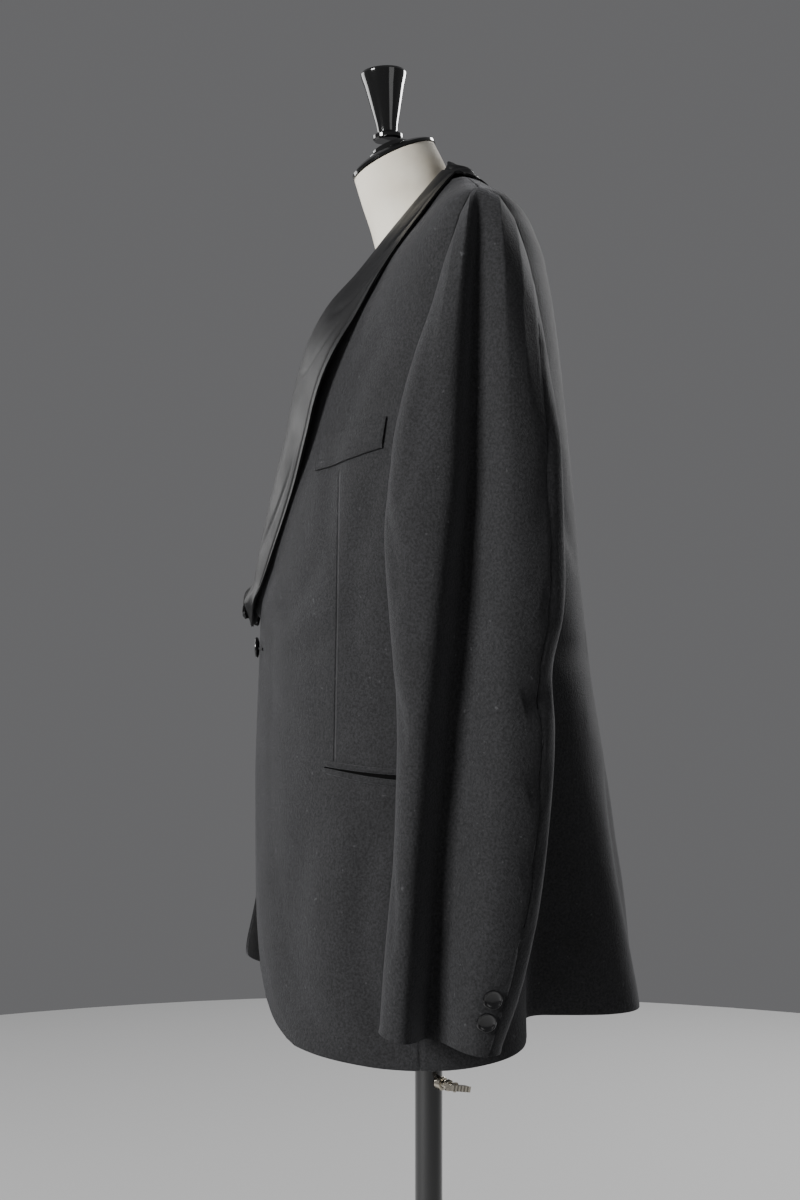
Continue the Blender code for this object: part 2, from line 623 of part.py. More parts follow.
def make_collar(materials):
    """Each half of the shawl collar: a fall outside, a roll, and a short turn inside."""
    for side, word in ((LEFT, "left"), (RIGHT, "right")):
        levels = np.append(FOOT_LEVELS, np.linspace(1.15, 1.463, 12))
        turns = np.linspace(0, 1, 7)[1:]
        strips = [roll_point(side, level) for level in levels]
        strips += [collar_point(side, turn) for turn in turns]
        rolls = np.array([roll for roll, _ in strips])
        edges = np.array([edge for _, edge in strips])
        along = np.gradient(rolls, axis=0)
        along /= np.linalg.norm(along, axis=1, keepdims=True)
        across = edges - rolls
        length = np.linalg.norm(across, axis=1, keepdims=True)
        across = across / length
        out = np.cross(across, along) * side
        out /= np.linalg.norm(out, axis=1, keepdims=True)
        turn_in = np.full(length.shape, 0.010)
        turn_in[: len(levels), 0] = np.interp(levels, (1.108, 1.118), (0.0035, 0.010))
        depth = np.clip(length * 0.3, 0.0024, 0.0075)  # thickness of the roll
        depth[: len(levels), 0] *= np.interp(levels, (1.100, 1.108), (0.4, 1.0))
        fall = np.stack(
            (
                edges,
                rolls + across * length * 0.74 + out * 0.0016,
                rolls + across * length * 0.48 + out * 0.0026,
                rolls + across * length * 0.22 + out * 0.0026,
                rolls + across * 0.0012,
            ),
            1,
        )
        turned_in = np.stack(
            (
                rolls - out * depth * 0.5,
                rolls - out * depth + across * 0.0012,
                rolls - out * depth + across * turn_in,
            ),
            1,
        )
        # Up the front's edge the turn goes round that edge and lies behind the front.
        shape = front_shape(side)
        starts = np.array([front_edges(side)(level)[0] for level in levels])
        edge, normal, onward = outward(shape, starts, levels, side)
        behind = CLOTH + SATIN + 0.0018
        degrees = turn_in[: len(levels), 0] / surface_step(shape, starts, levels)
        deep = outward(shape, starts + degrees, levels, side)
        round_edge = np.stack(
            (
                edge - onward * 0.0036 - normal * 0.0008,
                edge - onward * 0.0018 - normal * behind,
                deep[0] - deep[1] * behind,
            ),
            1,
        )
        sure = (levels > 1.11)[:, None, None] * 1.0
        count = len(levels)
        turned_in[:count] += (round_edge - turned_in[:count]) * sure
        samples = coat_samples(side)
        low = np.concatenate([1 - sure[:, 0, 0], np.zeros(len(turns))])
        fall = lifted(fall, samples, (0.0036 + (0.0024 + SATIN) * low)[:, None])
        free = np.append(levels, turns + 2) < 1.10
        turned_in[free] = lifted(turned_in[free], samples, 0.0030)
        outer = np.concatenate([fall, turned_in], axis=1)
        du = np.gradient(outer, axis=1)
        dv = np.gradient(outer, axis=0)
        normal = np.cross(du, dv)
        normal /= np.linalg.norm(normal, axis=-1, keepdims=True)
        probe = np.sum(normal[:, 1] * out, axis=-1).mean()
        normal = normal * np.sign(probe)
        inner = outer - normal * SATIN
        outer[-1, :, 0] = inner[-1, :, 0] = side * SEAM / 2
        wall(f"lapel_{word}", outer, inner, materials["satin"])


# ---------------------------------------------------------------- the form and its stand


def lofted(name, rings, material):
    """A closed solid through rings of points, each ring an array of the same length."""
    bm = bmesh.new()
    loops = [[bm.verts.new(Vector(point)) for point in ring] for ring in rings]
    for lower, upper in zip(loops, loops[1:]):
        for i, corner in enumerate(lower):
            j = (i + 1) % len(lower)
            bm.faces.new((corner, lower[j], upper[j], upper[i]))
    bm.faces.new(loops[0][::-1])
    bm.faces.new(loops[-1])
    return finish(name, bm, material)


def turned(name, profile, place, material, steps=24):
    """A solid turned from an outline of radius and height, closed at the axis."""
    bm = bmesh.new()
    points = [(0, 0, profile["height"][0])]
    points += [(r, 0, z) for r, z in zip(profile["radius"], profile["height"])]
    points += [(0, 0, profile["height"][-1])]
    verts = [bm.verts.new(point) for point in points]
    edges = [bm.edges.new(pair) for pair in zip(verts, verts[1:])]
    bmesh.ops.spin(
        bm,
        geom=verts + edges,
        axis=(0, 0, 1),
        cent=(0, 0, 0),
        steps=steps,
        angle=math.tau,
        use_merge=True,
    )
    bmesh.ops.remove_doubles(bm, verts=bm.verts[:], dist=1e-6)
    bmesh.ops.transform(bm, matrix=place, verts=bm.verts[:])
    return finish(name, bm, material)


def make_form(materials):
    round_it = np.arange(0, 360, 15)
    side = np.where(round_it <= 180, LEFT, RIGHT)
    angle = np.where(round_it <= 180, round_it, 360 - round_it)
    levels = np.concatenate(
        [np.linspace(FORM_FOOT, 1.26, 6), np.linspace(1.26, 1.40, 6)[1:], np.linspace(1.40, 1.4955, 9)[1:]]
    )
    rings = []
    for level in levels:
        rings.append(
            [ring_point(FORM, s, a, level) for s, a in zip(side, angle.astype(float))]
        )
    lofted("torso_form", rings, materials["canvas"])
    top = Matrix.Translation((0, -0.0310, 1.4962)) @ Matrix.Rotation(NECK_TILT, 4, "X")
    lift = Matrix.Translation((0, 0, 0.0003))
    turned("neck_cap", CAP, top @ lift, materials["gloss_black"], 24)
    cap_top = top @ lift @ Vector((0, 0, CAP["height"][-1] + 0.0003))
    seat = Matrix.Translation(cap_top + Vector((0, 0.0003, 0.0052)))
    turned("knob", KNOB, seat @ Matrix.Rotation(KNOB_TILT, 4, "X"), materials["gloss_black"], 24)


def make_stand(materials):
    black = materials["gloss_black"]
    rod = table("radius height", (ROD_RADIUS, ROD_FOOT), (ROD_RADIUS, FORM_FOOT - 0.0063))
    turned("rod", rod, Matrix.Identity(4), black)
    plate = table(
        "radius height", (0.045, FORM_FOOT - 0.006), (0.045, FORM_FOOT - 0.0003)
    )
    turned("form_plate", plate, Matrix.Identity(4), black)
    base = table(
        "radius height",
        (BASE_RADIUS - 0.002, 0.0),
        (BASE_RADIUS, 0.002),
        (BASE_RADIUS, BASE_EDGE - 0.003),
        (BASE_RADIUS - 0.004, BASE_EDGE),
        (0.040, BASE_TOP - 0.004),
        (0.026, BASE_TOP),
    )
    turned("base", base, Matrix.Identity(4), black, 40)
    tube = table(
        "radius height", (TUBE_RADIUS, BASE_TOP + 0.0003), (TUBE_RADIUS, TUBE_TOP)
    )
    pole = turned("stand_tube", tube, Matrix.Identity(4), black)
    bore = table("radius height", (TUBE_BORE, BASE_TOP + 0.010), (TUBE_BORE, TUBE_TOP + 0.01))
    cut(pole, turned("bore_cutter", bore, Matrix.Identity(4), black))
    place = Matrix.Translation((0, 0, SCREW_HEIGHT)) @ Matrix.Rotation(SCREW_TURN, 4, "Z")
    place = place @ Matrix.Rotation(math.radians(90), 4, "Y")
    hole = table("radius height", (0.0036, 0.005), (0.0036, 0.020))
    cut(pole, turned("screw_hole_cutter", hole, place, black, 16))
    boss = table("radius height", (0.0060, TUBE_RADIUS + 0.0003), (0.0060, 0.0185))
    nut = turned("screw_boss", boss, place, materials["nickel"], 16)
    cut(nut, turned("boss_hole_cutter", hole, place, black, 16))
    shank = table(
        "radius height",
        (0.0030, 0.0102),
        (0.0030, 0.0230),
        (0.0050, 0.0231),
        (0.0050, 0.0262),
        (0.0036, 0.0264),
        (0.0045, 0.0330),
    )
    screw = turned("thumb_screw", shank, place, materials["nickel"], 16)
    join_handle(screw, place)


def cut(target, cutter):
    """Cuts one object from another, and keeps the cutter out of the model."""
    cutter.hide_render = True
    cutter.display_type = "WIRE"
    carve = target.modifiers.new(f"cut_{cutter.name}", "BOOLEAN")
    carve.operation = "DIFFERENCE"
    carve.object = cutter


def join_handle(screw, place):
    """Adds the flat grip across the screw's outer end."""
    bm = bmesh.new()
    size = Matrix.Diagonal((0.0050, 0.0260, 0.0075, 1))
    lie = place @ Matrix.Rotation(math.radians(-15), 4, "Z") @ Matrix.Translation((0, 0, 0.0362))
    bmesh.ops.create_cube(bm, size=1, matrix=lie @ size)
    bmesh.ops.bevel(
        bm, geom=bm.edges[:], offset=0.0008, segments=1, affect="EDGES", profile=0.5, material=-1
    )
    grip = finish("grip_part", bm, screw.data.materials[0])
    grip.hide_render = True
    grip.display_type = "WIRE"
    weld = screw.modifiers.new("grip", "BOOLEAN")
    weld.operation = "UNION"
    weld.object = grip


# ---------------------------------------------------------------- trimmings


def place_at(side, y, z):
    """The angle and the level where the body's surface has this height and this depth."""
    level, angle = z, 60.0
    for _ in range(30):
        point = body_point(side, np.array(angle), np.array(level))
        level += z - point[2]
        ahead = body_point(side, np.array(angle + 0.5), np.array(level))
        angle += 0.5 * (y - point[1]) / max(ahead[1] - point[1], 1e-5)
        angle = min(max(angle, 5.0), 95.0)
    return angle, level


def strip(name, side, top, bottom, columns, height, material):
    """A strip lying on the front: its upper and lower edge are lists of depth and height."""
    shape = front_shape(side)
    share = np.linspace(0, 1, columns + 1)

    def edge(corners):
        found = np.array([place_at(side, y, z) for y, z in corners])
        at = np.linspace(0, 1, len(corners))
        return np.stack([np.interp(share, at, found[:, 0]), np.interp(share, at, found[:, 1])], -1)

    lower, upper = edge(bottom), edge(top)
    angle = np.stack([lower[:, 0], (lower[:, 0] + upper[:, 0]) / 2, upper[:, 0]])
    level = np.stack([lower[:, 1], (lower[:, 1] + upper[:, 1]) / 2, upper[:, 1]])
    sign = 1 if side == LEFT else -1
    flat = np.ones(angle.shape)
    outer = moved_out(shape, angle, level, flat * (LIFT + height) * sign)
    inner = moved_out(shape, angle, level, flat * LIFT * sign)
    return wall(name, outer, inner, material)


def make_pockets(materials):
    welt_top = ((-0.0900, 1.2370), (-0.0640, 1.2400), (-0.0360, 1.2470))
    welt_foot = ((-0.0960, 1.2080), (-0.0680, 1.2145), (-0.0405, 1.2220))
    strip("welt", LEFT, welt_top, welt_foot, 6, 0.0018, materials["wool"])
    for side, word in ((LEFT, "left"), (RIGHT, "right")):
        upper_top = ((-0.0870, 0.9700), (-0.0300, 0.9665), (0.0300, 0.9655))
        upper_foot = ((-0.0872, 0.9655), (-0.0300, 0.9620), (0.0300, 0.9615))
        lower_top = ((-0.0872, 0.9645), (-0.0300, 0.9602), (0.0300, 0.9600))
        lower_foot = ((-0.0870, 0.9600), (-0.0300, 0.9545), (0.0300, 0.9550))
        strip(f"jet_upper_{word}", side, upper_top, upper_foot, 6, 0.0014, materials["wool"])
        strip(f"jet_lower_{word}", side, lower_top, lower_foot, 6, 0.0014, materials["wool"])


def make_buttons(materials):
    """Small discs with a raised rim, dished inside."""

    def button(name, radius, thickness, place):
        outline = table(
            "radius height",
            (radius * 0.55, 0.0),
            (radius * 0.96, thickness * 0.40),
            (radius, thickness * 0.65),
            (radius * 0.90, thickness),
            (radius * 0.72, thickness * 0.75),
        )
        turned(name, outline, place, materials["gloss_black"], 12)

    lie = Matrix.Rotation(math.radians(90), 4, "X")
    shape = front_shape(LEFT)
    spot = shape(np.array(angle_at(1.057, 0.002)), np.array(1.057))
    button("button_front", 0.0095, 0.0035, Matrix.Translation(spot + [0, -0.0006, 0]) @ lie)
    for side, word in ((LEFT, "left"), (RIGHT, "right")):
        for i, along in enumerate((1.902, 1.940), 1):
            angle = 119.0
            here = sleeve_point(side, np.array(angle), np.array(along))
            ahead = sleeve_point(side, np.array(angle + 1), np.array(along)) - here
            down = sleeve_point(side, np.array(angle), np.array(along + 0.01)) - here
            normal = Vector(np.cross(down, ahead)).normalized()
            if normal.x * side < 0:
                normal = -normal
            turn = normal.to_track_quat("Z", "Y").to_matrix().to_4x4()
            place = Matrix.Translation(Vector(here) + normal * 0.0010) @ turn
            button(f"button_cuff_{word}_{i}", 0.0075, 0.0032, place)


def main():
    for made in list(bpy.data.objects):
        bpy.data.objects.remove(made)
    materials = make_materials()
    make_fronts(materials)
    make_sides_and_backs(materials)
    make_sleeves(materials)
    make_collar(materials)
    make_pockets(materials)
    make_buttons(materials)
    make_form(materials)
    make_stand(materials)


main()
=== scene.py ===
# %% [markdown]
# # A shawl-collar dinner jacket on a dress form
#
# This notebook dresses the measured model of a tuxedo jacket on a limbless dress form. It loads
# the model, draws every piece of cloth again as a finer sheet on the same surfaces, lays the
# creases in, and gives each piece its real material.
#
# Everything is in metres. The jacket's front faces -Y, the wearer's left side is +X, and the
# middle of the stand's foot is at the origin.

# %%
import math

import bmesh
import bpy
import numpy as np
from mathutils import Matrix, Vector


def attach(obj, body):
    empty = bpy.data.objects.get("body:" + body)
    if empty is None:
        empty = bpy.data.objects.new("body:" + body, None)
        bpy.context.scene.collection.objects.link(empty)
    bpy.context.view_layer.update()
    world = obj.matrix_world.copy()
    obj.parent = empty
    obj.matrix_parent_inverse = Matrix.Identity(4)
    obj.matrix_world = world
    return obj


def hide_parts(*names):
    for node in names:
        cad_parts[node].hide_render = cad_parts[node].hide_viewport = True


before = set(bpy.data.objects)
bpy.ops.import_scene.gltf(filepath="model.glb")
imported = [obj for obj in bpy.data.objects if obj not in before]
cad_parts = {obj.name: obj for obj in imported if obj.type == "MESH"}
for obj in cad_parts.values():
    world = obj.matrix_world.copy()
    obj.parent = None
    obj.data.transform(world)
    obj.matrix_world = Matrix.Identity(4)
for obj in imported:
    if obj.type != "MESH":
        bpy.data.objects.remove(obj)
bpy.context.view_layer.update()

# %% [markdown]
# ## Sizes
#
# These are the model's own driving sizes. The sheets below are worked out from them.

# %%
CLOTH = 0.002  # wall of wool with its canvas and lining
SATIN = 0.0016  # wall of the collar
SEAM = 0.0005  # gap between pieces that are sewn together
LIFT = 0.0004  # gap under a piece that lies on another
LAP_LIFT = 0.0045  # how far the left front stands out from the right one that it laps
LEFT, RIGHT = 1, -1
LAPEL_FOOT = 1.082  # where the lapel's pointed foot starts
FOOT_LEVELS = (LAPEL_FOOT, 1.092, 1.100, 1.108, 1.118, 1.132)  # the lapel's rows over that foot
UNDERARM = 1.22
SHOULDER_POINT = 1.4225

TUBE_RADIUS, TUBE_BORE = 0.0125, 0.0106
TUBE_TOP = 0.700
ROD_RADIUS = 0.0098
ROD_FOOT = 0.36
FORM_FOOT = 0.83
BASE_RADIUS, BASE_EDGE, BASE_TOP = 0.165, 0.010, 0.026
SCREW_HEIGHT = 0.666
SCREW_TURN = math.radians(45)  # the screw points between the left side and the back
print("the lapel starts at", LAPEL_FOOT, "m, the shoulder point is at", SHOULDER_POINT, "m")

# %% [markdown]
# ## Tables
#
# A table holds rings or rows of the real shape, each column with its name. `read` gives a smooth
# value between two rows.

# %%
def table(columns, *rows):
    """A table's columns by name, each an array."""
    values = np.array(rows, float)
    return {name: values[:, i] for i, name in enumerate(columns.split())}


def smooth(at, xs, ys):
    """A smooth curve through a table's column, flat past its ends."""
    slopes = np.gradient(ys, xs)
    at = np.clip(at, xs[0], xs[-1])
    i = np.clip(np.searchsorted(xs, at) - 1, 0, len(xs) - 2)
    step = xs[i + 1] - xs[i]
    t = (at - xs[i]) / step
    return (
        (2 * t**3 - 3 * t**2 + 1) * ys[i]
        + (t**3 - 2 * t**2 + t) * step * slopes[i]
        + (3 * t**2 - 2 * t**3) * ys[i + 1]
        + (t**3 - t**2) * step * slopes[i + 1]
    )


def read(rows, by, at, *names):
    """The named columns of a table, read at a value of another column."""
    return [smooth(at, rows[by], rows[name]) for name in names]

# %%
# Rings round the jacket's body. level names a ring and is its height at the side. A ring dips to
# front_z and back_z, the more steeply the lower dip is, and it is half wide at the side. The three
# powers shape its outline: 1 and 1 make an ellipse, less is squarer, and a large front_x is a wedge.
BODY = table(
    "level front_z back_z dip half  front   ridge  back   front_x front_y round_back",
    (0.740, 0.740, 0.740, 2, 0.205, -0.1500, 0.010, 0.1830, 0.91, 0.91, 1.00),
    (0.840, 0.840, 0.840, 2, 0.203, -0.1505, 0.012, 0.1730, 0.91, 0.91, 1.00),
    (0.950, 0.950, 0.950, 2, 0.195, -0.1510, 0.015, 0.1580, 0.95, 0.95, 0.98),
    (1.057, 1.057, 1.057, 2, 0.184, -0.1480, 0.018, 0.1415, 1.02, 1.02, 0.95),
    (1.140, 1.138, 1.140, 2, 0.188, -0.1440, 0.022, 0.1325, 1.15, 1.08, 0.93),
    (1.220, 1.212, 1.220, 2, 0.195, -0.1320, 0.026, 0.1255, 1.30, 1.08, 0.91),
    (1.300, 1.278, 1.300, 2, 0.196, -0.1160, 0.030, 0.1165, 1.42, 1.04, 0.87),
    (1.370, 1.328, 1.368, 2, 0.203, -0.0920, 0.033, 0.1055, 1.88, 1.00, 0.87),
    (1.405, 1.354, 1.395, 2, 0.210, -0.0720, 0.034, 0.0980, 2.50, 1.00, 0.91),
    (1.418, 1.370, 1.411, 2, 0.207, -0.0560, 0.035, 0.0910, 2.50, 1.00, 0.95),
    (1.430, 1.385, 1.424, 2, 0.177, -0.0420, 0.035, 0.0820, 2.20, 1.00, 1.00),
    (1.443, 1.402, 1.437, 2, 0.135, -0.0280, 0.034, 0.0720, 1.80, 1.00, 1.00),
    (1.455, 1.424, 1.447, 2, 0.100, -0.0140, 0.032, 0.0600, 1.40, 1.00, 1.00),
    (1.463, 1.444, 1.453, 2, 0.075, -0.0020, 0.030, 0.0500, 1.20, 1.00, 1.00),
)

# Flutes of the skirt: a ridge where depth is positive, a trough where it is negative.
FLUTES = table(
    "side angle_head angle_hem spread depth  head",
    (1, 98, 96, 13, 0.004, 1.02),
    (1, 122, 131, 15, -0.062, 1.20),
    (1, 150, 158, 12, 0.010, 1.00),
    (1, 60, 56, 15, 0.003, 0.95),
    (-1, 100, 98, 13, 0.004, 1.00),
    (-1, 124, 128, 16, -0.052, 1.18),
    (-1, 150, 155, 13, 0.009, 1.02),
    (-1, 20, 30, 20, 0.052, 0.91),
    (-1, 62, 66, 14, -0.006, 0.92),
)

# The hem's height round the body, from the centre front to the centre back.
HEM = table(
    "angle height",
    (0, 0.7480),
    (20, 0.7415),
    (45, 0.7380),
    (75, 0.7330),
    (90, 0.7350),
    (110, 0.7420),
    (135, 0.7520),
    (155, 0.7500),
    (180, 0.7430),
)

# Where the front edge runs below the button, as a distance across from the centre.
FRONT_EDGE = table(
    "level left   right",
    (0.740, 0.150, 0.128),
    (0.750, 0.122, 0.108),
    (0.768, 0.096, 0.090),
    (0.800, 0.068, 0.066),
    (0.840, 0.043, 0.042),
    (0.900, 0.017, 0.016),
    (0.960, 0.001, 0.000),
    (1.030, -0.010, -0.012),
    (1.080, -0.012, -0.014),
)

# The seams between the front, the side body and the back, in degrees round the body. Above the
# underarm they are the armhole's edges, and the last columns say which places round the sleeve,
# in degrees from its front, they are sewn to.
SEAMS = table(
    "level   front back   sleeve_front sleeve_back",
    (0.7400, 84.0, 122.0, -75, 255),
    (0.9500, 83.0, 120.0, -75, 255),
    (1.1400, 82.0, 114.0, -75, 255),
    (1.2200, 81.0, 110.0, -75, 255),
    (1.2450, 75.0, 119.0, -50, 222),
    (1.2750, 74.0, 124.5, -22, 190),
    (1.3100, 75.5, 126.5, 0, 168),
    (1.3450, 78.0, 126.0, 18, 150),
    (1.3750, 80.5, 122.5, 36, 138),
    (1.4000, 83.0, 114.5, 56, 124),
    (1.4145, 86.0, 104.0, 73, 107),
    (1.4225, 90.0, 90.0, 90, 90),
    (1.4630, 90.0, 90.0, 90, 90),
)

# The shawl collar, from the end of its roll to the shoulder seam: its roll and its outer edge.
LAPEL = table(
    "level roll_x roll_y roll_z edge_x edge_y edge_z",
    (1.075, 0.003, -0.1580, 1.073, 0.007, -0.1570, 1.070),
    (1.100, 0.010, -0.1580, 1.096, 0.032, -0.1545, 1.093),
    (1.140, 0.020, -0.1520, 1.137, 0.054, -0.1400, 1.133),
    (1.200, 0.033, -0.1400, 1.192, 0.080, -0.1180, 1.193),
    (1.260, 0.044, -0.1270, 1.243, 0.101, -0.1040, 1.242),
    (1.320, 0.052, -0.1150, 1.297, 0.113, -0.0905, 1.288),
    (1.370, 0.057, -0.0935, 1.350, 0.118, -0.0680, 1.330),
    (1.405, 0.060, -0.0640, 1.383, 0.118, -0.0400, 1.371),
    (1.430, 0.061, -0.0380, 1.415, 0.112, -0.0190, 1.403),
    (1.450, 0.061, -0.0130, 1.447, 0.102, 0.0010, 1.432),
    (1.463, 0.059, 0.0060, 1.468, 0.090, 0.0180, 1.4570),
)

# The collar behind the neck, from the shoulder seam to the centre back.
COLLAR = table(
    "turn  roll_x roll_y roll_z edge_x edge_y edge_z",
    (0.0, 0.059, 0.0060, 1.468, 0.090, 0.0180, 1.4570),
    (0.35, 0.047, 0.0190, 1.4765, 0.070, 0.0420, 1.4620),
    (0.7, 0.024, 0.0270, 1.4815, 0.036, 0.0590, 1.4570),
    (1.0, 0.000, 0.0290, 1.4830, 0.000, 0.0640, 1.4540),
)

# Rings of a sleeve below the arm: its front and back, its inner and outer side, and the deep
# crease down its outer side.
SLEEVE = table(
    "height front   back   inner  outer  crease width depth",
    (0.760, -0.0420, 0.0500, 0.2125, 0.268, -0.004, 0.034, 0.036),
    (0.800, -0.0400, 0.0640, 0.2115, 0.270, -0.002, 0.035, 0.035),
    (0.850, -0.0360, 0.0760, 0.2105, 0.269, 0.002, 0.038, 0.033),
    (0.930, -0.0300, 0.0870, 0.2070, 0.266, 0.008, 0.041, 0.032),
    (1.000, -0.0285, 0.0915, 0.2030, 0.265, 0.014, 0.040, 0.031),
    (1.050, -0.0310, 0.0900, 0.2010, 0.264, 0.018, 0.037, 0.030),
    (1.085, -0.0340, 0.0975, 0.2000, 0.264, 0.021, 0.035, 0.028),
    (1.160, -0.0380, 0.0985, 0.2020, 0.264, 0.026, 0.029, 0.024),
    (1.205, -0.0330, 0.0970, 0.2040, 0.262, 0.029, 0.027, 0.020),
)
SLEEVE_HEAD = 1.205  # below this the sleeve hangs straight, above it turns into the armhole
CUFF_HEIGHT = 0.775
CUFF_DROP = 0.016  # the cuff hangs this much lower at the back seam
FOREARM_SEAM, HINDARM_SEAM = -22, 150  # places round the sleeve, in degrees from its front
print(len(BODY["level"]), "rings round the body,", len(SLEEVE["height"]), "round a sleeve")

# %%
# Rings of the dress form: the same columns as the body's.
FORM = table(
    "level front_z back_z dip half  front   ridge  back   front_x front_y round_back",
    (0.830, 0.830, 0.830, 2, 0.140, -0.0850, 0.008, 0.1020, 0.91, 0.91, 0.91),
    (0.950, 0.950, 0.950, 2, 0.144, -0.0880, 0.008, 0.1000, 0.91, 0.91, 0.91),
    (1.060, 1.060, 1.060, 2, 0.138, -0.0900, 0.008, 0.0970, 0.91, 0.91, 0.91),
    (1.160, 1.155, 1.160, 2, 0.150, -0.0980, 0.012, 0.1010, 0.93, 0.93, 0.91),
    (1.260, 1.245, 1.260, 2, 0.166, -0.0960, 0.018, 0.1020, 1.05, 1.00, 0.91),
    (1.335, 1.305, 1.335, 2, 0.172, -0.0800, 0.022, 0.0950, 1.30, 1.00, 0.95),
    (1.374, 1.340, 1.372, 2, 0.165, -0.0620, 0.024, 0.0850, 1.60, 1.00, 1.00),
    (1.396, 1.364, 1.392, 2, 0.142, -0.0500, 0.022, 0.0750, 1.60, 1.00, 1.00),
    (1.408, 1.378, 1.406, 2, 0.112, -0.0455, 0.016, 0.0640, 1.40, 1.00, 1.00),
    (1.418, 1.390, 1.418, 1.8, 0.080, -0.0445, 0.006, 0.0500, 1.20, 1.00, 1.00),
    (1.432, 1.408, 1.434, 1.4, 0.054, -0.0465, -0.002, 0.0370, 1.00, 1.00, 1.00),
    (1.450, 1.430, 1.462, 1, 0.043, -0.0515, -0.010, 0.0270, 1.00, 1.00, 1.00),
    (1.474, 1.456, 1.490, 1, 0.0405, -0.0600, -0.021, 0.0160, 1.00, 1.00, 1.00),
    (1.4955, 1.4790, 1.5120, 1, 0.0400, -0.0670, -0.031, 0.0050, 1.00, 1.00, 1.00),
)

# Outlines of the turned pieces, as a radius at each height, from the foot up.
KNOB = table(
    "radius height",
    (0.0120, 0.000),
    (0.0135, 0.0015),
    (0.0135, 0.0045),
    (0.0115, 0.0060),
    (0.0090, 0.0075),
    (0.0098, 0.0140),
    (0.0175, 0.0480),
    (0.0203, 0.0570),
    (0.0207, 0.0600),
    (0.0195, 0.0620),
    (0.0120, 0.0645),
)
CAP = table(
    "radius height",
    (0.0405, 0.0000),
    (0.0405, 0.0025),
    (0.0375, 0.0048),
    (0.0300, 0.0075),
    (0.0215, 0.0090),
    (0.0205, 0.0115),
    (0.0165, 0.0125),
    (0.0155, 0.0150),
)
NECK_TILT = math.radians(24)
KNOB_TILT = math.radians(4)
print("the form has", len(FORM["level"]), "rings")

# %% [markdown]
# ## Surfaces
#
# One function gives any point of the jacket's body, and another any point of a sleeve, so that
# pieces of cloth meet along their seams.

# %%
def ring_point(rings, side, angle, level):
    """A point of a ring table's surface, angle degrees round from the centre front."""
    names = "front_z back_z dip half front ridge back front_x front_y round_back".split()
    front_z, back_z, dip, half, front, ridge, back, front_x, front_y, round_back = read(
        rings, "level", level, *names
    )
    turn = np.radians(angle)
    across, along = np.sin(turn), np.cos(turn)
    is_front = along > 0
    depth = np.where(is_front, front - ridge, back - ridge)
    x = side * half * np.sign(across) * np.abs(across) ** np.where(is_front, front_x, round_back)
    y = ridge + depth * np.abs(along) ** np.where(is_front, front_y, round_back)
    z = level + (np.where(is_front, front_z, back_z) - level) * np.abs(along) ** dip
    return np.stack(np.broadcast_arrays(x, y, z), -1)


def flute(side, angle, level):
    """How far the skirt's flutes move the cloth out at this place."""
    total = 0.0
    for row in zip(*(FLUTES[name] for name in FLUTES)):
        row_side, angle_head, angle_hem, spread, depth, head = row
        if row_side != side:
            continue
        down = np.clip((head - level) / (head - 0.74), 0, 1)
        middle = angle_head + (angle_hem - angle_head) * down
        total = total + depth * down**1.4 * np.exp(-(((angle - middle) / spread) ** 2))
    return total


def body_point(side, angle, level):
    """A point of the jacket's outer surface, with the skirt's flutes."""
    plain = ring_point(BODY, side, angle, level)
    turn = np.radians(angle)
    half, front, back = read(BODY, "level", level, "half", "front", "back")
    depth = np.where(np.cos(turn) > 0, np.abs(front), np.abs(back))
    out = np.stack(
        np.broadcast_arrays(
            side * np.sin(turn) / half, -np.cos(turn) / depth, np.zeros_like(turn)
        ),
        -1,
    )
    out = out / np.linalg.norm(out, axis=-1, keepdims=True)
    return plain + out * np.asarray(flute(side, angle, level))[..., None]


def angle_at(level, across):
    """The angle where the body's front is this far across from the centre."""
    half, front_x = read(BODY, "level", level, "half", "front_x")
    share = np.clip(np.abs(across) / half, 0, 1)
    return np.degrees(np.arcsin(share ** (1 / front_x))) * np.sign(across)


def roll_point(side, level):
    """The lapel's roll, and its outer edge, at a ring of the body."""
    names = "roll_x roll_y roll_z edge_x edge_y edge_z".split()
    roll_x, roll_y, roll_z, edge_x, edge_y, edge_z = read(LAPEL, "level", level, *names)
    roll = np.stack([side * roll_x, roll_y, roll_z], -1)
    edge = np.stack([side * edge_x, edge_y, edge_z], -1)
    return roll, edge


def collar_point(side, turn):
    names = "roll_x roll_y roll_z edge_x edge_y edge_z".split()
    roll_x, roll_y, roll_z, edge_x, edge_y, edge_z = read(COLLAR, "turn", turn, *names)
    roll = np.stack([side * roll_x, roll_y, roll_z], -1)
    edge = np.stack([side * edge_x, edge_y, edge_z], -1)
    return roll, edge


def sleeve_ring(side, angle, height):
    """A point round a hanging sleeve, angle degrees from its front by way of its outer side."""
    names = "front back inner outer crease width depth".split()
    front, back, inner, outer, crease, width, depth = read(SLEEVE, "height", height, *names)
    turn = np.radians(angle)
    power = 2 / 2.4
    along, out = np.cos(turn), np.sin(turn)
    middle_y, middle_x = (front + back) / 2, (inner + outer) / 2
    y = middle_y - (back - front) / 2 * np.sign(along) * np.abs(along) ** power
    x = middle_x + (outer - inner) / 2 * np.sign(out) * np.abs(out) ** power
    spread = np.where(y < crease, width * 0.38, width * 0.62)
    dent = depth * np.exp(-(((y - crease) / spread) ** 2)) * np.clip(out * 1.6, 0, 1)
    return np.stack(np.broadcast_arrays(side * (x - dent), y, height), -1)


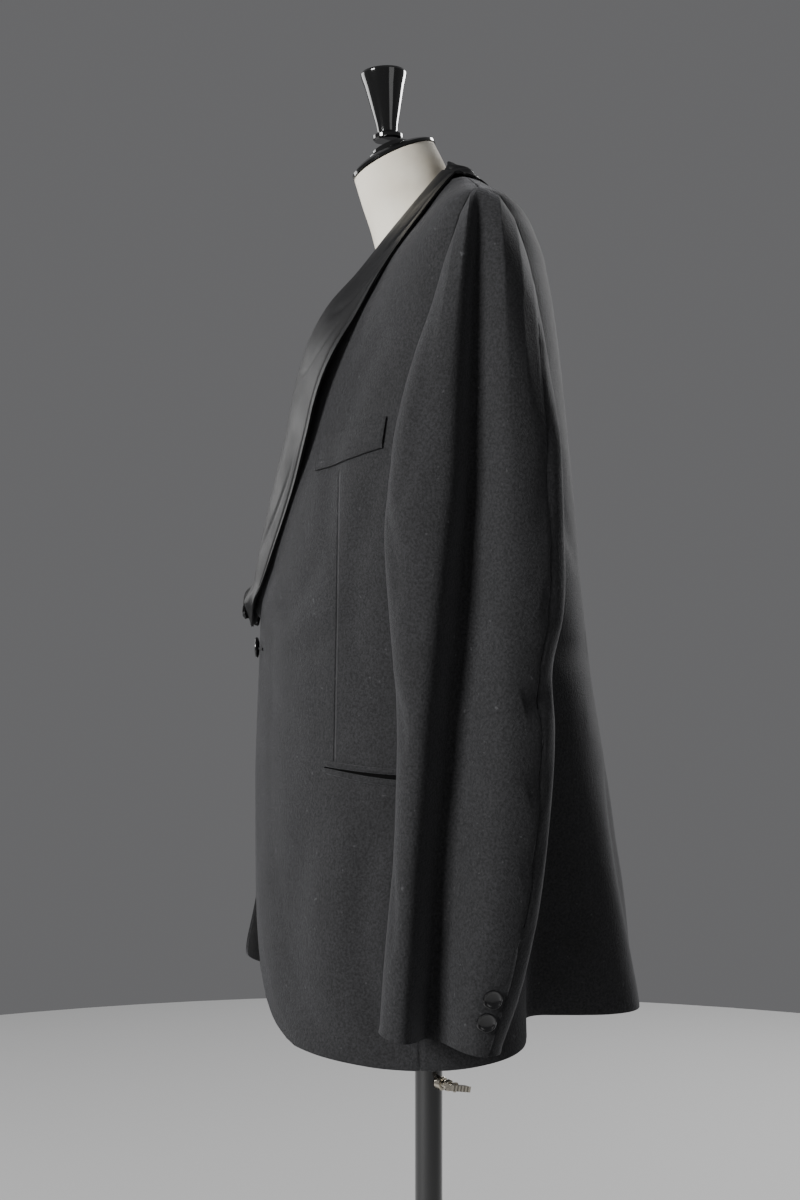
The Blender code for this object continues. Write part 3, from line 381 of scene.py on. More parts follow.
def armhole(side, angle):
    """The armhole's edge at a place round the sleeve, straight between the rows of its table."""
    hole = (SEAMS["level"] >= UNDERARM - 1e-6) & (SEAMS["level"] <= SHOULDER_POINT + 1e-6)
    level = SEAMS["level"][hole]
    places = np.append(SEAMS["sleeve_front"][hole], SEAMS["sleeve_back"][hole][-2::-1])
    front = body_point(side, SEAMS["front"][hole], level)
    back = body_point(side, SEAMS["back"][hole], level)[-2::-1]
    points = np.concatenate([front, back, front[:1]])
    places = np.append(places, 360 + places[0])
    turn = (np.asarray(angle, float) - places[0]) % 360 + places[0]
    return np.stack([np.interp(turn, places, points[:, i]) for i in range(3)], -1)


def sleeve_point(side, angle, along):
    """A point of the sleeve. along is 0 at the armhole, 1 where it hangs straight, 2 at the cuff."""
    seam = armhole(side, angle)
    centre = np.array([0.0, 0.036, 1.315])
    inward = centre - seam
    inward[..., 0] = 0
    inward = inward / np.linalg.norm(inward, axis=-1, keepdims=True)
    start = seam + inward * (SEAM + 0.0004)
    underarm = np.clip(1 - np.abs((np.asarray(angle, float) % 360) - 270) / 55, 0, 1)
    start[..., 2] += 0.0028 * underarm
    hanging = sleeve_ring(side, angle, np.full(np.shape(angle), SLEEVE_HEAD))
    gap = np.linalg.norm(hanging - start, axis=-1, keepdims=True)
    leave = np.array([side * 1.0, 0.0, 0.15]) * gap * 0.75
    arrive = np.array([0.0, 0.0, -1.0]) * gap * 0.9
    t = np.clip(along, 0, 1)[..., None] if np.ndim(along) else min(max(along, 0), 1)
    cap = (
        (2 * t**3 - 3 * t**2 + 1) * start
        + (t**3 - 2 * t**2 + t) * leave
        + (3 * t**2 - 2 * t**3) * hanging
        + (t**3 - t**2) * arrive
    )
    down = np.clip(along - 1, 0, 1)
    lap = (1 - np.cos(np.radians(np.asarray(angle) + 10))) / 2
    cuff = CUFF_HEIGHT - CUFF_DROP * lap
    height = SLEEVE_HEAD + (cuff - SLEEVE_HEAD) * down
    hung = sleeve_ring(side, angle, height)
    return np.where(np.asarray(down)[..., None] > 0, hung, cap)

# %%
def moved_out(surface, us, vs, distance, step=(0.2, 0.002)):
    """Points of a surface at two parameters, moved along its outward normal."""
    u, v = np.asarray(us, float), np.asarray(vs, float)
    du = surface(u + step[0], v) - surface(u - step[0], v)
    dv = surface(u, v + step[1]) - surface(u, v - step[1])
    normal = np.cross(du, dv)
    normal = normal / np.maximum(np.linalg.norm(normal, axis=-1, keepdims=True), 1e-12)
    return surface(u, v) + normal * np.asarray(distance)[..., None]


def surface_step(surface, us, vs, step=0.2):
    """How many metres one unit of the first parameter covers."""
    ahead, behind = surface(us + step, vs), surface(us - step, vs)
    return np.linalg.norm(ahead - behind, axis=-1) / (2 * step)

# %%
def zone_levels(*zones):
    """Levels of the rows, from zones given as foot, head and how many rows lie between."""
    found = [np.linspace(foot, head, rows, endpoint=False) for foot, head, rows in zones]
    return np.append(np.concatenate(found), zones[-1][1])


SKIRT_LEVELS = zone_levels((0.74, 0.80, 3), (0.80, 1.06, 5))
FOLD_LEVELS = (LAPEL_FOOT, 1.098, 1.120, 1.150, 1.185, UNDERARM)  # rows where the front's fold starts
ARMHOLE_LEVELS = [level for level in SEAMS["level"] if UNDERARM < level < SHOULDER_POINT]
SHOULDER_LEVELS = zone_levels((SHOULDER_POINT, 1.463, 5))
BODY_LEVELS = np.concatenate([SKIRT_LEVELS, FOLD_LEVELS, ARMHOLE_LEVELS, SHOULDER_LEVELS])


def retreat(level):
    """How far the front's edge draws back under the lapel's foot, where the fold starts."""
    return np.interp(level, (1.082, 1.094, 1.120, 1.150), (0, 0.009, 0.007, 0))


def front_edges(side):
    column = "left" if side == LEFT else "right"

    def edges(level):
        across = smooth(level, FRONT_EDGE["level"], FRONT_EDGE[column])
        roll_x = smooth(level, LAPEL["level"], LAPEL["roll_x"])
        lapel = np.clip((level - LAPEL_FOOT) / 0.016, 0, 1)
        start = angle_at(level, across + (roll_x + retreat(level) - across) * lapel)
        return start, smooth_seam(level, "front")

    return edges


def smooth_seam(level, column):
    """The seam's angle, read straight between rows, so that the shoulder's corner stays."""
    return np.interp(level, SEAMS["level"], SEAMS[column])


def fold_offset(side, level):
    """From the lapel's roll back to the front's edge, which lies inside the fold."""
    high = np.clip((np.asarray(level, float) - 1.36) / 0.10, 0, 1)[..., None]
    low_fold = np.array([side * 0.0015, 0.0052, -0.0015])
    high_fold = np.array([side * 0.0005, 0.0036, -0.0048])
    back = np.multiply.outer(retreat(np.asarray(level, float)), [side, 0.15, 0])
    return low_fold + (high_fold - low_fold) * high + back


def front_shape(side):
    """The body's surface, drawn out to the lapel's roll along its front edge."""
    edges = front_edges(side)

    def shape(angle, level):
        plain = body_point(side, angle, level)
        start = edges(level)[0]
        roll, edge = roll_point(side, level)
        fold = roll + fold_offset(side, level)
        gap = fold - body_point(side, start, level)
        width = np.maximum(angle_at(level, np.abs(edge[..., 0])) - start, 4.0) * 1.2
        near = np.clip(1 - (angle - start) / width, 0, 1) ** 1.7
        # The right front comes forward a little higher up, so that it stays under the left one.
        above = np.clip((level - LAPEL_FOOT - (side == RIGHT) * 0.006) / 0.016, 0, 1)
        # The left front laps over the right one, from the button to the hem.
        lap = LAP_LIFT * np.clip((24 - (angle - start)) / 14, 0, 1) * (side == LEFT)
        lap = lap * np.clip((1.13 - level) / 0.03, 0, 1)
        push = np.stack([0 * lap, -lap, 0 * lap], -1)
        return plain + gap * (near * above)[..., None] + push

    return shape
print(len(BODY_LEVELS), "rows up the body")

# %% [markdown]
# The collar lies on the fronts. Its points are lifted until they stand clear of them.

# %%
def outward(shape, angle, level, side):
    """Points of a surface with their outward normals and the way to greater angles."""
    point = shape(angle, level)
    du = shape(angle + 0.2, level) - shape(angle - 0.2, level)
    dv = shape(angle, level + 0.002) - shape(angle, level - 0.002)
    normal = np.cross(du, dv) * side
    normal /= np.maximum(np.linalg.norm(normal, axis=-1, keepdims=True), 1e-12)
    onward = du / np.maximum(np.linalg.norm(du, axis=-1, keepdims=True), 1e-12)
    return point, normal, onward


def coat_samples(side):
    """Close points of the coat under the collar, with their normals."""
    edges = front_edges(side)
    levels = np.linspace(1.06, 1.463, 120)
    starts = np.array([edges(level)[0] for level in levels])
    share = np.linspace(0, 1, 60) ** 1.5
    angle = starts[:, None] + share * (75 - starts[:, None])
    level = np.repeat(levels[:, None], 60, axis=1)
    front = outward(front_shape(side), angle, level, side)
    angle, level = np.meshgrid(np.linspace(60, 180, 90), np.linspace(1.40, 1.463, 40))
    rear = outward(lambda a, b: body_point(side, a, b), angle, level, side)
    points = np.concatenate([front[0].reshape(-1, 3), rear[0].reshape(-1, 3)])
    normals = np.concatenate([front[1].reshape(-1, 3), rear[1].reshape(-1, 3)])
    return points, normals


def lifted(points, samples, need):
    """The points, each moved out until it stands this far off the nearest sample."""
    places, normals = samples
    found = points.copy()
    for index in np.ndindex(points.shape[:-1]):
        nearest = np.argmin(np.sum((places - points[index]) ** 2, axis=1))
        height = np.dot(points[index] - places[nearest], normals[nearest])
        short = max(np.broadcast_to(need, points.shape[:-1])[index] - height, 0)
        found[index] = points[index] + normals[nearest] * short
    return found


# %%
def collar_grid(side):
    """Rows of points up the collar, by places across it, and the outward way at each."""
    levels = np.append(FOOT_LEVELS, np.linspace(1.15, 1.463, 12))
    turns = np.linspace(0, 1, 7)[1:]
    strips = [roll_point(side, level) for level in levels]
    strips += [collar_point(side, turn) for turn in turns]
    rolls = np.array([roll for roll, _ in strips])
    edges = np.array([edge for _, edge in strips])
    along = np.gradient(rolls, axis=0)
    along /= np.linalg.norm(along, axis=1, keepdims=True)
    across = edges - rolls
    length = np.linalg.norm(across, axis=1, keepdims=True)
    across = across / length
    out = np.cross(across, along) * side
    out /= np.linalg.norm(out, axis=1, keepdims=True)
    turn_in = np.full(length.shape, 0.010)
    turn_in[: len(levels), 0] = np.interp(levels, (1.108, 1.118), (0.0035, 0.010))
    depth = np.clip(length * 0.3, 0.0024, 0.0075)  # thickness of the roll
    depth[: len(levels), 0] *= np.interp(levels, (1.100, 1.108), (0.4, 1.0))
    fall = np.stack(
        (
            edges,
            rolls + across * length * 0.74 + out * 0.0016,
            rolls + across * length * 0.48 + out * 0.0026,
            rolls + across * length * 0.22 + out * 0.0026,
            rolls + across * 0.0012,
        ),
        1,
    )
    turned_in = np.stack(
        (
            rolls - out * depth * 0.5,
            rolls - out * depth + across * 0.0012,
            rolls - out * depth + across * turn_in,
        ),
        1,
    )
    # Up the front's edge the turn goes round that edge and lies behind the front.
    shape = front_shape(side)
    starts = np.array([front_edges(side)(level)[0] for level in levels])
    edge, normal, onward = outward(shape, starts, levels, side)
    behind = CLOTH + SATIN + 0.0018
    degrees = turn_in[: len(levels), 0] / surface_step(shape, starts, levels)
    deep = outward(shape, starts + degrees, levels, side)
    round_edge = np.stack(
        (
            edge - onward * 0.0036 - normal * 0.0008,
            edge - onward * 0.0018 - normal * behind,
            deep[0] - deep[1] * behind,
        ),
        1,
    )
    sure = (levels > 1.11)[:, None, None] * 1.0
    count = len(levels)
    turned_in[:count] += (round_edge - turned_in[:count]) * sure
    samples = coat_samples(side)
    low = np.concatenate([1 - sure[:, 0, 0], np.zeros(len(turns))])
    fall = lifted(fall, samples, (0.0036 + (0.0024 + SATIN) * low)[:, None])
    free = np.append(levels, turns + 2) < 1.10
    turned_in[free] = lifted(turned_in[free], samples, 0.0030)
    outer = np.concatenate([fall, turned_in], axis=1)
    return outer, out
print("the collar's grid is", collar_grid(LEFT)[0].shape)

# %% [markdown]
# ## Creases
#
# Each crease is a soft trough or ridge from one place to another. Its depth fades out to both
# ends. On the body a place is degrees round from the centre front and a ring's level.

# %%
BODY_FOLDS = table(
    "side turn_a level_a turn_b level_b width depth",
    # the pull of the waist button, on both fronts
    (1, 8, 1.056, 66, 1.104, 0.014, -0.0022),
    (1, 8, 1.050, 60, 0.985, 0.017, -0.0024),
    (1, 14, 1.062, 48, 1.150, 0.012, -0.0014),
    (-1, 8, 1.056, 62, 1.112, 0.015, -0.0024),
    (-1, 9, 1.048, 64, 0.992, 0.015, -0.0020),
    # long soft folds down the fronts
    (1, 60, 1.330, 47, 1.140, 0.016, -0.0026),
    (1, 68, 1.240, 64, 1.020, 0.014, -0.0022),
    (1, 52, 0.940, 44, 0.770, 0.024, -0.0030),
    (1, 72, 0.930, 74, 0.750, 0.017, -0.0036),
    (1, 30, 0.930, 26, 0.790, 0.020, 0.0012),
    (-1, 62, 1.340, 50, 1.170, 0.014, -0.0024),
    (-1, 70, 1.250, 60, 1.060, 0.017, -0.0025),
    (-1, 50, 0.900, 56, 0.760, 0.022, -0.0034),
    # the sides, where the sleeve hangs against them
    (1, 92, 1.190, 96, 1.030, 0.016, -0.0020),
    (-1, 90, 1.180, 99, 1.000, 0.018, -0.0022),
    # the back: shoulder blades, waist and skirt
    (1, 121, 1.345, 148, 1.200, 0.018, -0.0030),
    (1, 132, 1.260, 158, 1.130, 0.015, -0.0022),
    (1, 160, 1.415, 171, 1.240, 0.012, -0.0012),
    (1, 116, 1.095, 164, 1.060, 0.014, -0.0026),
    (1, 119, 1.030, 150, 1.000, 0.012, -0.0018),
    (1, 166, 0.960, 169, 0.770, 0.016, -0.0030),
    (-1, 122, 1.340, 152, 1.190, 0.017, -0.0028),
    (-1, 130, 1.250, 150, 1.150, 0.013, -0.0018),
    (-1, 114, 1.110, 160, 1.075, 0.016, -0.0028),
    (-1, 120, 1.010, 162, 1.022, 0.012, -0.0016),
    (-1, 164, 0.930, 170, 0.780, 0.018, -0.0026),
)
DEGREE_ROUND = 0.0034  # metres of cloth in one degree round the body


def folds(rows, side, turn, place, degree):
    """How far the creases of a table move the cloth out at each place."""
    names = [name for name in rows if name != "side"]
    total = np.zeros(np.shape(turn))
    for mark, *values in zip(rows["side"], *(rows[name] for name in names)):
        if mark != side:
            continue
        turn_a, place_a, turn_b, place_b, width, depth = values
        run = np.array([(turn_b - turn_a) * degree, place_b - place_a])
        right, up = (turn - turn_a) * degree, place - place_a
        share = np.clip((right * run[0] + up * run[1]) / (run @ run), 0, 1)
        bow = 0.12 * np.sin(np.pi * share)  # a crease is never quite straight
        away = np.hypot(right - (share * run[0] + bow * run[1]), up - (share * run[1] - bow * run[0]))
        total += depth * np.sqrt(4 * share * (1 - share)) * np.exp(-((away / width) ** 2))
    return total


def uneven(points, seed):
    """A slow unevenness of the cloth, under a millimetre deep."""
    x, y, z = points[..., 0], points[..., 1], points[..., 2]
    broad = np.sin(41 * z + 23 * y + seed) * np.sin(33 * x - 17 * z + 2 * seed)
    small = np.sin(97 * y + 61 * z + 3 * seed) * np.sin(83 * x + 71 * y - 29 * z)
    return 0.00045 * broad + 0.00022 * small


print(len(BODY_FOLDS["side"]), "creases laid on the body")

# %%
SLEEVE_FOLDS = table(
    "side turn_a down_a turn_b down_b width depth",
    # the elbow
    (1, 186, 0.150, 122, 0.176, 0.010, -0.0050),
    (1, 184, 0.118, 132, 0.100, 0.012, -0.0026),
    (1, 182, 0.200, 126, 0.240, 0.014, -0.0028),
    (1, 172, 0.262, 128, 0.300, 0.013, -0.0020),
    (1, 176, 0.322, 140, 0.345, 0.010, -0.0018),
    # the front edge
    (1, -8, 0.020, 34, 0.110, 0.016, -0.0026),
    (1, -10, 0.170, 30, 0.215, 0.013, -0.0020),
    (1, -6, 0.300, 26, 0.372, 0.013, -0.0022),
    # the head
    (1, 40, -0.110, 30, 0.040, 0.014, -0.0018),
    (1, 122, -0.090, 134, 0.060, 0.015, -0.0024),
    (1, 148, -0.080, 160, 0.050, 0.013, -0.0020),
    (-1, 184, 0.140, 118, 0.170, 0.011, -0.0046),
    (-1, 180, 0.205, 130, 0.232, 0.013, -0.0026),
    (-1, 178, 0.290, 134, 0.318, 0.012, -0.0020),
    (-1, -8, 0.040, 36, 0.125, 0.016, -0.0028),
    (-1, -8, 0.245, 28, 0.300, 0.014, -0.0022),
    (-1, 42, -0.105, 32, 0.030, 0.014, -0.0018),
    (-1, 124, -0.095, 138, 0.050, 0.015, -0.0026),
    (-1, 150, -0.080, 158, 0.050, 0.012, -0.0018),
)
SLEEVE_DEGREE = 0.00115  # metres of cloth in one degree round a sleeve


def hang(along):
    """Metres of sleeve below the place where it starts to hang."""
    return np.where(along > 1, (along - 1) * 0.43, (along - 1) * 0.17)


print(len(SLEEVE_FOLDS["side"]), "creases laid on the sleeves")

# %% [markdown]
# ## Walls of cloth
#
# A wall is a grid of points given its thickness inwards. Its rim is rounded, as a turned edge is.

# %%
RIM = 0.0006  # radius of a turned edge
SHARP = math.radians(38)


def shaded(bm):
    """Smooth faces, with hard edges kept where two faces really meet at an angle."""
    for face in bm.faces:
        face.smooth = True
    for edge in bm.edges:
        edge.smooth = edge.calc_face_angle(0) < SHARP


def finish(name, bm, material):
    """Turns a bmesh into an object with outward faces."""
    bmesh.ops.recalc_face_normals(bm, faces=bm.faces[:])
    if bm.calc_volume(signed=True) < 0:
        bmesh.ops.reverse_faces(bm, faces=bm.faces[:])
    shaded(bm)
    mesh = bpy.data.meshes.new(name)
    bm.to_mesh(mesh)
    bm.free()
    mesh.materials.append(material)
    made = bpy.data.objects.new(name, mesh)
    bpy.context.scene.collection.objects.link(made)
    return made


def inner_face(outer, thickness, sign):
    """The grid moved inwards along its own normals."""
    normal = np.cross(np.gradient(outer, axis=1), np.gradient(outer, axis=0)) * sign
    normal /= np.maximum(np.linalg.norm(normal, axis=-1, keepdims=True), 1e-12)
    return outer - normal * thickness


def wall(name, outer, inner, material):
    """A closed wall between two grids of points, with a rounded rim."""
    rows, columns = outer.shape[:2]
    bm = bmesh.new()
    bmesh.ops.create_grid(bm, x_segments=columns - 1, y_segments=rows - 1, size=0.5)
    for vertex in bm.verts:
        column = round((vertex.co.x + 0.5) * (columns - 1))
        row = round((vertex.co.y + 0.5) * (rows - 1))
        vertex.co = (column, row, 0)
    extruded = bmesh.ops.extrude_face_region(bm, geom=bm.faces[:])
    fresh = {item for item in extruded["geom"] if isinstance(item, bmesh.types.BMVert)}
    for vertex in bm.verts:
        column, row = round(vertex.co.x), round(vertex.co.y)
        vertex.co = Vector((inner if vertex in fresh else outer)[row, column])
    rim = [face for face in bm.faces if 0 < sum(v in fresh for v in face.verts) < 4]
    border = {edge for face in rim for edge in face.edges}
    border = [e for e in border if len({v in fresh for v in e.verts}) == 1]
    bmesh.ops.bevel(
        bm, geom=border, offset=RIM, segments=2, affect="EDGES", profile=0.5, material=-1
    )
    return finish(name, bm, material)


def tell(pieces):
    """Prints the faces of each piece, and the area of one side of its wall."""
    for node, piece in pieces.items():
        area = sum(face.area for face in piece.data.polygons) / 2
        print(node, len(piece.data.polygons), "faces", round(area, 4), "m2")


def finer(values, parts):
    """Each gap between neighbouring values, cut in parts."""
    values = np.asarray(values, float)
    at = np.linspace(0, len(values) - 1, (len(values) - 1) * parts + 1)
    return np.interp(at, np.arange(len(values)), values)


print("an edge harder than", round(math.degrees(SHARP)), "degrees stays crisp")

# %% [markdown]
# ## Materials
#
# Colours are written as they look on a screen and turned linear by one function.

# %%
def linear(code):
    """A colour such as "#1c1c1d" as linear red, green, blue and alpha."""
    parts = [int(code[i : i + 2], 16) / 255 for i in (1, 3, 5)]
    return [c / 12.92 if c <= 0.04045 else ((c + 0.055) / 1.055) ** 2.4 for c in parts] + [1]


def add(tree, kind, inputs=(), **settings):
    """A node with its settings, and its inputs set to a value or joined to a socket."""
    made = tree.nodes.new(kind)
    for name, value in settings.items():
        setattr(made, name, value)
    for name, value in dict(inputs).items():
        if isinstance(value, bpy.types.NodeSocket):
            tree.links.new(value, made.inputs[name])
        else:
            made.inputs[name].default_value = value
    return made


def material(name, **sockets):
    """A material with these settings on its own shader, and the shader's tree."""
    made = bpy.data.materials.new(name)
    made.use_nodes = True
    shader = made.node_tree.nodes["Principled BSDF"]
    for socket, value in sockets.items():
        shader.inputs[socket.replace("_", " ")].default_value = value
    return made, made.node_tree, shader


def mixed(tree, factor, dark, light):
    """A colour between two, by a factor."""
    return add(tree, "ShaderNodeMix", {0: factor, 6: dark, 7: light}, data_type="RGBA").outputs[2]


def sums(tree, operation, first, second=0.0):
    """One step of arithmetic between sockets or numbers."""
    return add(tree, "ShaderNodeMath", {0: first, 1: second}, operation=operation).outputs[0]


def noise(tree, place, scale, detail, **inputs):
    """A noise whose features are about 1 / scale metres long."""
    inputs = {"Vector": place, "Scale": scale, "Detail": detail, **inputs}
    return add(tree, "ShaderNodeTexNoise", inputs).outputs[0]


def bumped(tree, height, strength, distance, **inputs):
    """A bump from a height, as deep as distance in metres."""
    inputs = {"Height": height, "Strength": strength, "Distance": distance, **inputs}
    return add(tree, "ShaderNodeBump", inputs).outputs[0]


def ranged(tree, value, low, high, to_low, to_high):
    """A value moved from one range into another, and kept inside it."""
    made = add(
        tree,
        "ShaderNodeMapRange",
        {"From Min": low, "From Max": high, "To Min": to_low, "To Max": to_high, "Value": value},
    )
    return made.outputs[0]


print("wool black is", [round(c, 4) for c in linear("#161617")[:3]])

# %% [markdown]
# The wool is a fine matt barathea. Its grain is about a millimetre. On a front it also carries
# the line of the waist dart, from the breast welt down to the hip pocket.

# %%
DART_Y, DART_TOP, DART_FOOT = -0.0775, 1.203, 0.972
DART_HALF, DART_FADE = 0.0011, 0.004  # half its groove's width, and how its ends fade
DART_LEAN, DART_SHIFT = 0.012, 0.013  # metres forward for each metre up, and at the floor


def dart_height(tree, place):
    """The groove of the dart's seam, as a height for a bump."""
    axes = add(tree, "ShaderNodeSeparateXYZ", {0: place})
    lean = sums(tree, "MULTIPLY", axes.outputs[2], -DART_LEAN)
    line = sums(tree, "ADD", axes.outputs[1], lean)
    away = sums(tree, "ADD", line, -DART_Y + DART_SHIFT)
    groove = ranged(tree, sums(tree, "ABSOLUTE", away), 0.0002, DART_HALF, 0.0, 1.0)
    low = ranged(tree, axes.outputs[2], DART_FOOT - DART_FADE, DART_FOOT, 1.0, 0.0)
    high = ranged(tree, axes.outputs[2], DART_TOP, DART_TOP + DART_FADE, 0.0, 1.0)
    return sums(tree, "MAXIMUM", groove, sums(tree, "MAXIMUM", low, high))


def wool(name, dart=False):
    """Black wool with a grain, a slow mottling and a few pale flecks of lint."""
    made, tree, shader = material(
        name, Roughness=0.84, Sheen_Weight=0.30, Sheen_Roughness=0.45, Specular_IOR_Level=0.25
    )
    shader.inputs["Sheen Tint"].default_value = linear("#a9a9ad")
    place = add(tree, "ShaderNodeTexCoord").outputs["Object"]
    grain = noise(tree, place, 520.0, 4.0, Roughness=0.7)
    grey = mixed(tree, noise(tree, place, 24.0, 5.0), linear("#262627"), linear("#303032"))
    weave = ranged(tree, grain, 0.38, 0.62, 0.0, 1.0)
    toned = add(tree, "ShaderNodeMix", data_type="RGBA", blend_type="MULTIPLY")
    toned.inputs[0].default_value = 1.0
    tree.links.new(grey, toned.inputs[6])
    tree.links.new(mixed(tree, weave, linear("#a6a6a6"), linear("#ffffff")), toned.inputs[7])
    lint = ranged(tree, noise(tree, place, 230.0, 1.0), 0.74, 0.80, 0.0, 0.35)
    flecked = mixed(tree, lint, toned.outputs[2], linear("#58585a"))
    tree.links.new(flecked, shader.inputs["Base Color"])
    bump = bumped(tree, grain, 0.85, 0.0010)
    if dart:
        bump = bumped(tree, dart_height(tree, place), 1.0, 0.0012, Normal=bump)
    tree.links.new(bump, shader.inputs["Normal"])
    return made


black_wool = wool("black barathea wool")
front_wool = wool("black barathea wool with a dart", dart=True)
print("dart from", DART_TOP, "to", DART_FOOT, "m")

# %% [markdown]
# The collar is silk satin, the form's cover is a stained ivory canvas, and the rest is lacquer,
# enamel, horn-like plastic and nickel.

# %%
def satin():
    """Black silk satin, with a gloss that varies slowly and a fine thread."""
    made, tree, shader = material(
        "black silk satin", Roughness=0.44, Specular_IOR_Level=0.30, Anisotropic=0.25
    )
    place = add(tree, "ShaderNodeTexCoord").outputs["Object"]
    broad = noise(tree, place, 26.0, 3.0)
    colour = mixed(tree, broad, linear("#0d0d0e"), linear("#161617"))
    tree.links.new(colour, shader.inputs["Base Color"])
    tree.links.new(ranged(tree, broad, 0.3, 0.7, 0.40, 0.52), shader.inputs["Roughness"])
    thread = noise(tree, place, 1300.0, 2.0)
    tree.links.new(bumped(tree, thread, 0.25, 0.0003), shader.inputs["Normal"])
    return made


def canvas():
    """Ivory canvas in a plain weave, with faint stains that are stronger towards the back."""
    made, tree, shader = material(
        "ivory cotton canvas", Roughness=0.86, Sheen_Weight=0.10, Specular_IOR_Level=0.30
    )
    place = add(tree, "ShaderNodeTexCoord").outputs["Object"]
    weft, warp = (
        add(
            tree, "ShaderNodeTexWave", {"Vector": place, "Scale": 330.0}, bands_direction=way
        ).outputs[1]
        for way in "ZY"
    )
    axes = add(tree, "ShaderNodeSeparateXYZ", {0: place})
    backward = ranged(tree, axes.outputs[1], -0.06, 0.02, 0.15, 1.0)
    patch = ranged(tree, noise(tree, place, 17.0, 5.0), 0.46, 0.68, 0.0, 0.55)
    stained = sums(tree, "MULTIPLY", patch, backward)
    colour = mixed(tree, stained, linear("#e6e0d2"), linear("#b5a78b"))
    tree.links.new(colour, shader.inputs["Base Color"])
    weave = bumped(tree, sums(tree, "ADD", weft, warp), 0.30, 0.0003)
    tree.links.new(weave, shader.inputs["Normal"])
    return made


def plain(name, colour, **sockets):
    """A material of one colour."""
    made, _, shader = material(name, **sockets)
    shader.inputs["Base Color"].default_value = linear(colour)
    return made


black_satin = satin()
ivory_canvas = canvas()
lacquer = plain("black gloss lacquer", "#0b0b0b", Roughness=0.10, Coat_Weight=1.0, Coat_Roughness=0.03)
enamel = plain("black gloss enamel", "#0d0d0e", Roughness=0.20, Coat_Weight=0.7, Coat_Roughness=0.08)
horn = plain("black polished plastic", "#0e0e0f", Roughness=0.18, Coat_Weight=0.5, Coat_Roughness=0.10)
nickel = plain("worn nickel plate", "#c9c2b4", Roughness=0.27, Metallic=1.0)
# Near-black for the pocket mouths: the black lining, with the shade inside the opening painted in.
lining_and_painted_shade = plain("black pocket lining and painted shade", "#050505", Roughness=0.95, Specular_IOR_Level=0.1)
silk = plain("black silk thread", "#18181a", Roughness=0.45)
print(len(bpy.data.materials), "materials")

# %% [markdown]
# ## Putting a piece in its place
#
# Every piece rides on a body of the model, and stands for its solid where it has one.


def placed(piece, body, node=None):
    """Lets a piece ride on a body, and stand for a solid where it has one."""
    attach(piece, body)
    if node:
        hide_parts(node)
    return piece


def sewn(piece, node):
    """A panel of the jacket: it rides on the form and stands for its solid."""
    placed(piece, "form", node)
    return piece


# %% [markdown]
# ## The form and its stand
#
# These are drawn first, because the jacket rests on them.

# %%
def lofted(name, rings, material):
    """A closed solid through rings of points, each ring an array of the same length."""
    bm = bmesh.new()
    loops = [[bm.verts.new(Vector(point)) for point in ring] for ring in rings]
    for lower, upper in zip(loops, loops[1:]):
        for i, corner in enumerate(lower):
            j = (i + 1) % len(lower)
            bm.faces.new((corner, lower[j], upper[j], upper[i]))
    bm.faces.new(loops[0][::-1])
    bm.faces.new(loops[-1])
    return finish(name, bm, material)


def turned(name, profile, place, material, steps=24):
    """A solid turned from an outline of radius and height, closed at the axis."""
    bm = bmesh.new()
    points = [(0, 0, profile["height"][0])]
    points += [(r, 0, z) for r, z in zip(profile["radius"], profile["height"])]
    points += [(0, 0, profile["height"][-1])]
    verts = [bm.verts.new(point) for point in points]
    edges = [bm.edges.new(pair) for pair in zip(verts, verts[1:])]
    bmesh.ops.spin(
        bm,
        geom=verts + edges,
        axis=(0, 0, 1),
        cent=(0, 0, 0),
        steps=steps,
        angle=math.tau,
        use_merge=True,
    )
    bmesh.ops.remove_doubles(bm, verts=bm.verts[:], dist=1e-6)
    bmesh.ops.transform(bm, matrix=place, verts=bm.verts[:])
    return finish(name, bm, material)

# %%
def torso():
    """The canvas-covered form, one smooth body from its foot to its neck."""
    around = np.arange(0, 360, 3.0)
    angle = np.where(around <= 180, around, 360 - around)
    levels = finer(np.append(np.linspace(FORM_FOOT, 1.40, 20), np.linspace(1.41, 1.4955, 12)), 3)
    grid_angle, grid_level = np.meshgrid(angle, levels)
    left, right = (ring_point(FORM, side, grid_angle, grid_level) for side in (LEFT, RIGHT))
    rings = np.where((around <= 180)[None, :, None], left, right)
    return lofted("form_cover", rings, ivory_canvas)


placed(torso(), "form", "torso_form")
neck_top = Matrix.Translation((0, -0.0310, 1.4965)) @ Matrix.Rotation(NECK_TILT, 4, "X")
cap = turned("lacquer_cap", CAP, neck_top, lacquer, 96)
placed(cap, "form", "neck_cap")
cap_top = neck_top @ Vector((0, 0, CAP["height"][-1] + 0.0003))
seat = Matrix.Translation(cap_top + Vector((0, 0.0003, 0.0052)))
knob = turned("lacquer_knob", KNOB, seat @ Matrix.Rotation(KNOB_TILT, 4, "X"), lacquer, 96)
placed(knob, "form", "knob")
print("the knob's top is at", round(knob.bound_box[1][2], 3), "m")

# %%
def disc(radius, foot, head, edge):
    """The outline of a round plate or bar with rounded edges."""
    return table(
        "radius height",
        (radius - edge, foot),
        (radius, foot + edge),
        (radius, head - edge),
        (radius - edge, head),
    )


